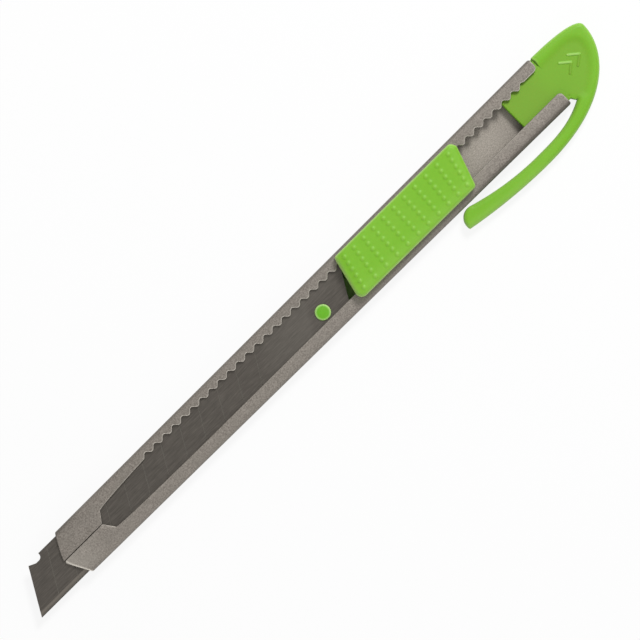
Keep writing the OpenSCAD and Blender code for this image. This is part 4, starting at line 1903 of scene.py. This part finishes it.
@dataclass
class Studio:
    """A plain pale floor, soft light and the camera that looks straight down."""

    floor_half: float = 3000.0
    floor_drop: float = 0.2
    floor_colour: Colour = (0.9, 0.9, 0.9, 1.0)
    floor_cloud: Colour = (0.8, 0.8, 0.8, 1.0)
    floor_cloud_size: float = 40.0
    floor_cloud_share: float = 0.05
    floor_glow: float = 0.88
    sky: float = 0.32
    lens: float = 200.0
    sensor: float = 36.0
    view_width: float = 118.52
    view_plane: float = 3.2
    view_centre: Flat = (-1.86, 1.49)
    view_turn: float = 135.32
    lamps: tuple[Lamp, ...] = (
        Lamp("key", (-0.42, -0.21, 0.50), 0.2, 3.85),
        Lamp("fill", (0.38, 0.40, 0.22), 0.5, 1.0),
    )

    def build_floor(self) -> Item:
        """Lays the pale floor, which keeps the knife's shadow.

        Returns:
            The floor, as part of the stage.
        """
        draft = MeshDraft()
        half = self.floor_half
        plan = ((-half, -half), (half, -half), (half, half), (-half, half))
        draft.add_face(draft.add_points((x, y, -self.floor_drop) for x, y in plan))
        nodes = Nodes("pale_floor")
        cloud = nodes.remap(nodes.noise(self.floor_cloud_size, 2.0), 0.0, self.floor_cloud_share)
        tone = nodes.mix(cloud, self.floor_colour, self.floor_cloud)
        matte = nodes.add("ShaderNodeBsdfDiffuse", {"Color": tone})
        glow = nodes.add("ShaderNodeEmission", {"Color": WHITE, "Strength": 1.0})
        share = nodes.scaled(shown(nodes.tree), self.floor_glow)
        mixed = nodes.add("ShaderNodeMixShader", {0: share, 1: matte.outputs[0], 2: glow.outputs[0]})
        nodes.add("ShaderNodeOutputMaterial", {"Surface": mixed.outputs[0]})
        floor = draft.to_object("floor", [nodes.material])
        return floor

    def build_sky(self) -> None:
        """Sets an even pale sky, white where it is seen or mirrored."""
        world = bpy.data.worlds.new("pale_sky")
        world.use_nodes = True
        tree = world.node_tree
        tree.nodes.clear()
        soft = tree.nodes.new("ShaderNodeBackground")
        soft.inputs["Strength"].default_value = self.sky
        white = tree.nodes.new("ShaderNodeBackground")
        for sky in (soft, white):
            sky.inputs["Color"].default_value = WHITE
        mixed = tree.nodes.new("ShaderNodeMixShader")
        tree.links.new(shown(tree), mixed.inputs[0])
        tree.links.new(soft.outputs[0], mixed.inputs[1])
        tree.links.new(white.outputs[0], mixed.inputs[2])
        output = tree.nodes.new("ShaderNodeOutputWorld")
        tree.links.new(mixed.outputs[0], output.inputs[0])
        bpy.context.scene.world = world

    def build_camera(self) -> Item:
        """Sets the camera straight above the knife, turned so that the knife runs from corner to corner.

        Returns:
            The camera.
        """
        data = bpy.data.cameras.new("camera")
        data.lens = self.lens
        data.sensor_width = self.sensor
        camera = bpy.data.objects.new("camera", data)
        height = self.view_plane + self.view_width * self.lens / self.sensor
        camera.location = tuple(c * MM for c in (*self.view_centre, height))
        camera.rotation_euler = (0.0, 0.0, math.radians(self.view_turn))
        bpy.context.scene.collection.objects.link(camera)
        bpy.context.scene.camera = camera
        return camera

    def build(self) -> None:
        """Sets the whole studio."""
        bpy.context.scene.view_settings.view_transform = "Standard"
        self.build_floor()
        self.build_sky()
        for lamp in self.lamps:
            lamp.build()
        self.build_camera()


def write_sizes() -> None:
    """Brings the scene's transforms up to date."""
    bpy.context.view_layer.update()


def main() -> None:
    """Builds the studio and the knife, piece by piece."""
    logging.basicConfig(level=logging.INFO, format="%(name)s: %(message)s")
    Studio().build()
    face = BladeSteel(
        BladeZone.FACE,
        dark=paint(72, 68, 63),
        light=paint(92, 87, 81),
        worn=paint(118, 114, 107),
        shade=paint(60, 57, 53),
        roughness=(0.4, 0.5),
    )
    ground = BladeSteel(
        BladeZone.GROUND,
        dark=paint(80, 76, 70),
        light=paint(98, 94, 87),
        worn=paint(132, 124, 115),
        shade=paint(62, 58, 52),
        roughness=(0.3, 0.4),
    )
    button = GreenPlastic(
        Moulding.BUTTON,
        main=paint(126, 185, 47),
        deep=paint(122, 184, 42),
        pale=paint(172, 208, 114),
        dull=paint(100, 160, 30),
    )
    cap = GreenPlastic(
        Moulding.CAP,
        main=paint(119, 179, 40),
        deep=paint(116, 177, 36),
        pale=paint(160, 203, 104),
        dull=paint(116, 161, 43),
    )
    carrier = GreenPlastic(
        Moulding.CARRIER,
        main=paint(104, 179, 32),
        deep=paint(98, 174, 30),
        pale=paint(192, 226, 146),
        dull=paint(104, 128, 62),
    )
    outside = SheetSteel(SheetFace.OUTSIDE, paint(144, 137, 129), paint(100, 93, 86), paint(119, 114, 106))
    inside = SheetSteel(SheetFace.INSIDE, paint(168, 161, 151), paint(122, 115, 107), paint(145, 139, 130))
    Sleeve().build(outside.material(), inside.material())
    Blade().build(face.material(), ground.material())
    slider = SliderCarriage()
    slider.build_button(button.material())
    carrier_green = carrier.material()
    slider.build_carrier(carrier_green)
    slider.build_stud(carrier_green)
    slider.dress_spring(SpringSteel().material())
    green = cap.material()
    end_cap = EndCap()
    end_cap.build_cap(green)
    end_cap.build_tongue(green)
    write_sizes()


if __name__ == "__main__":
    main()
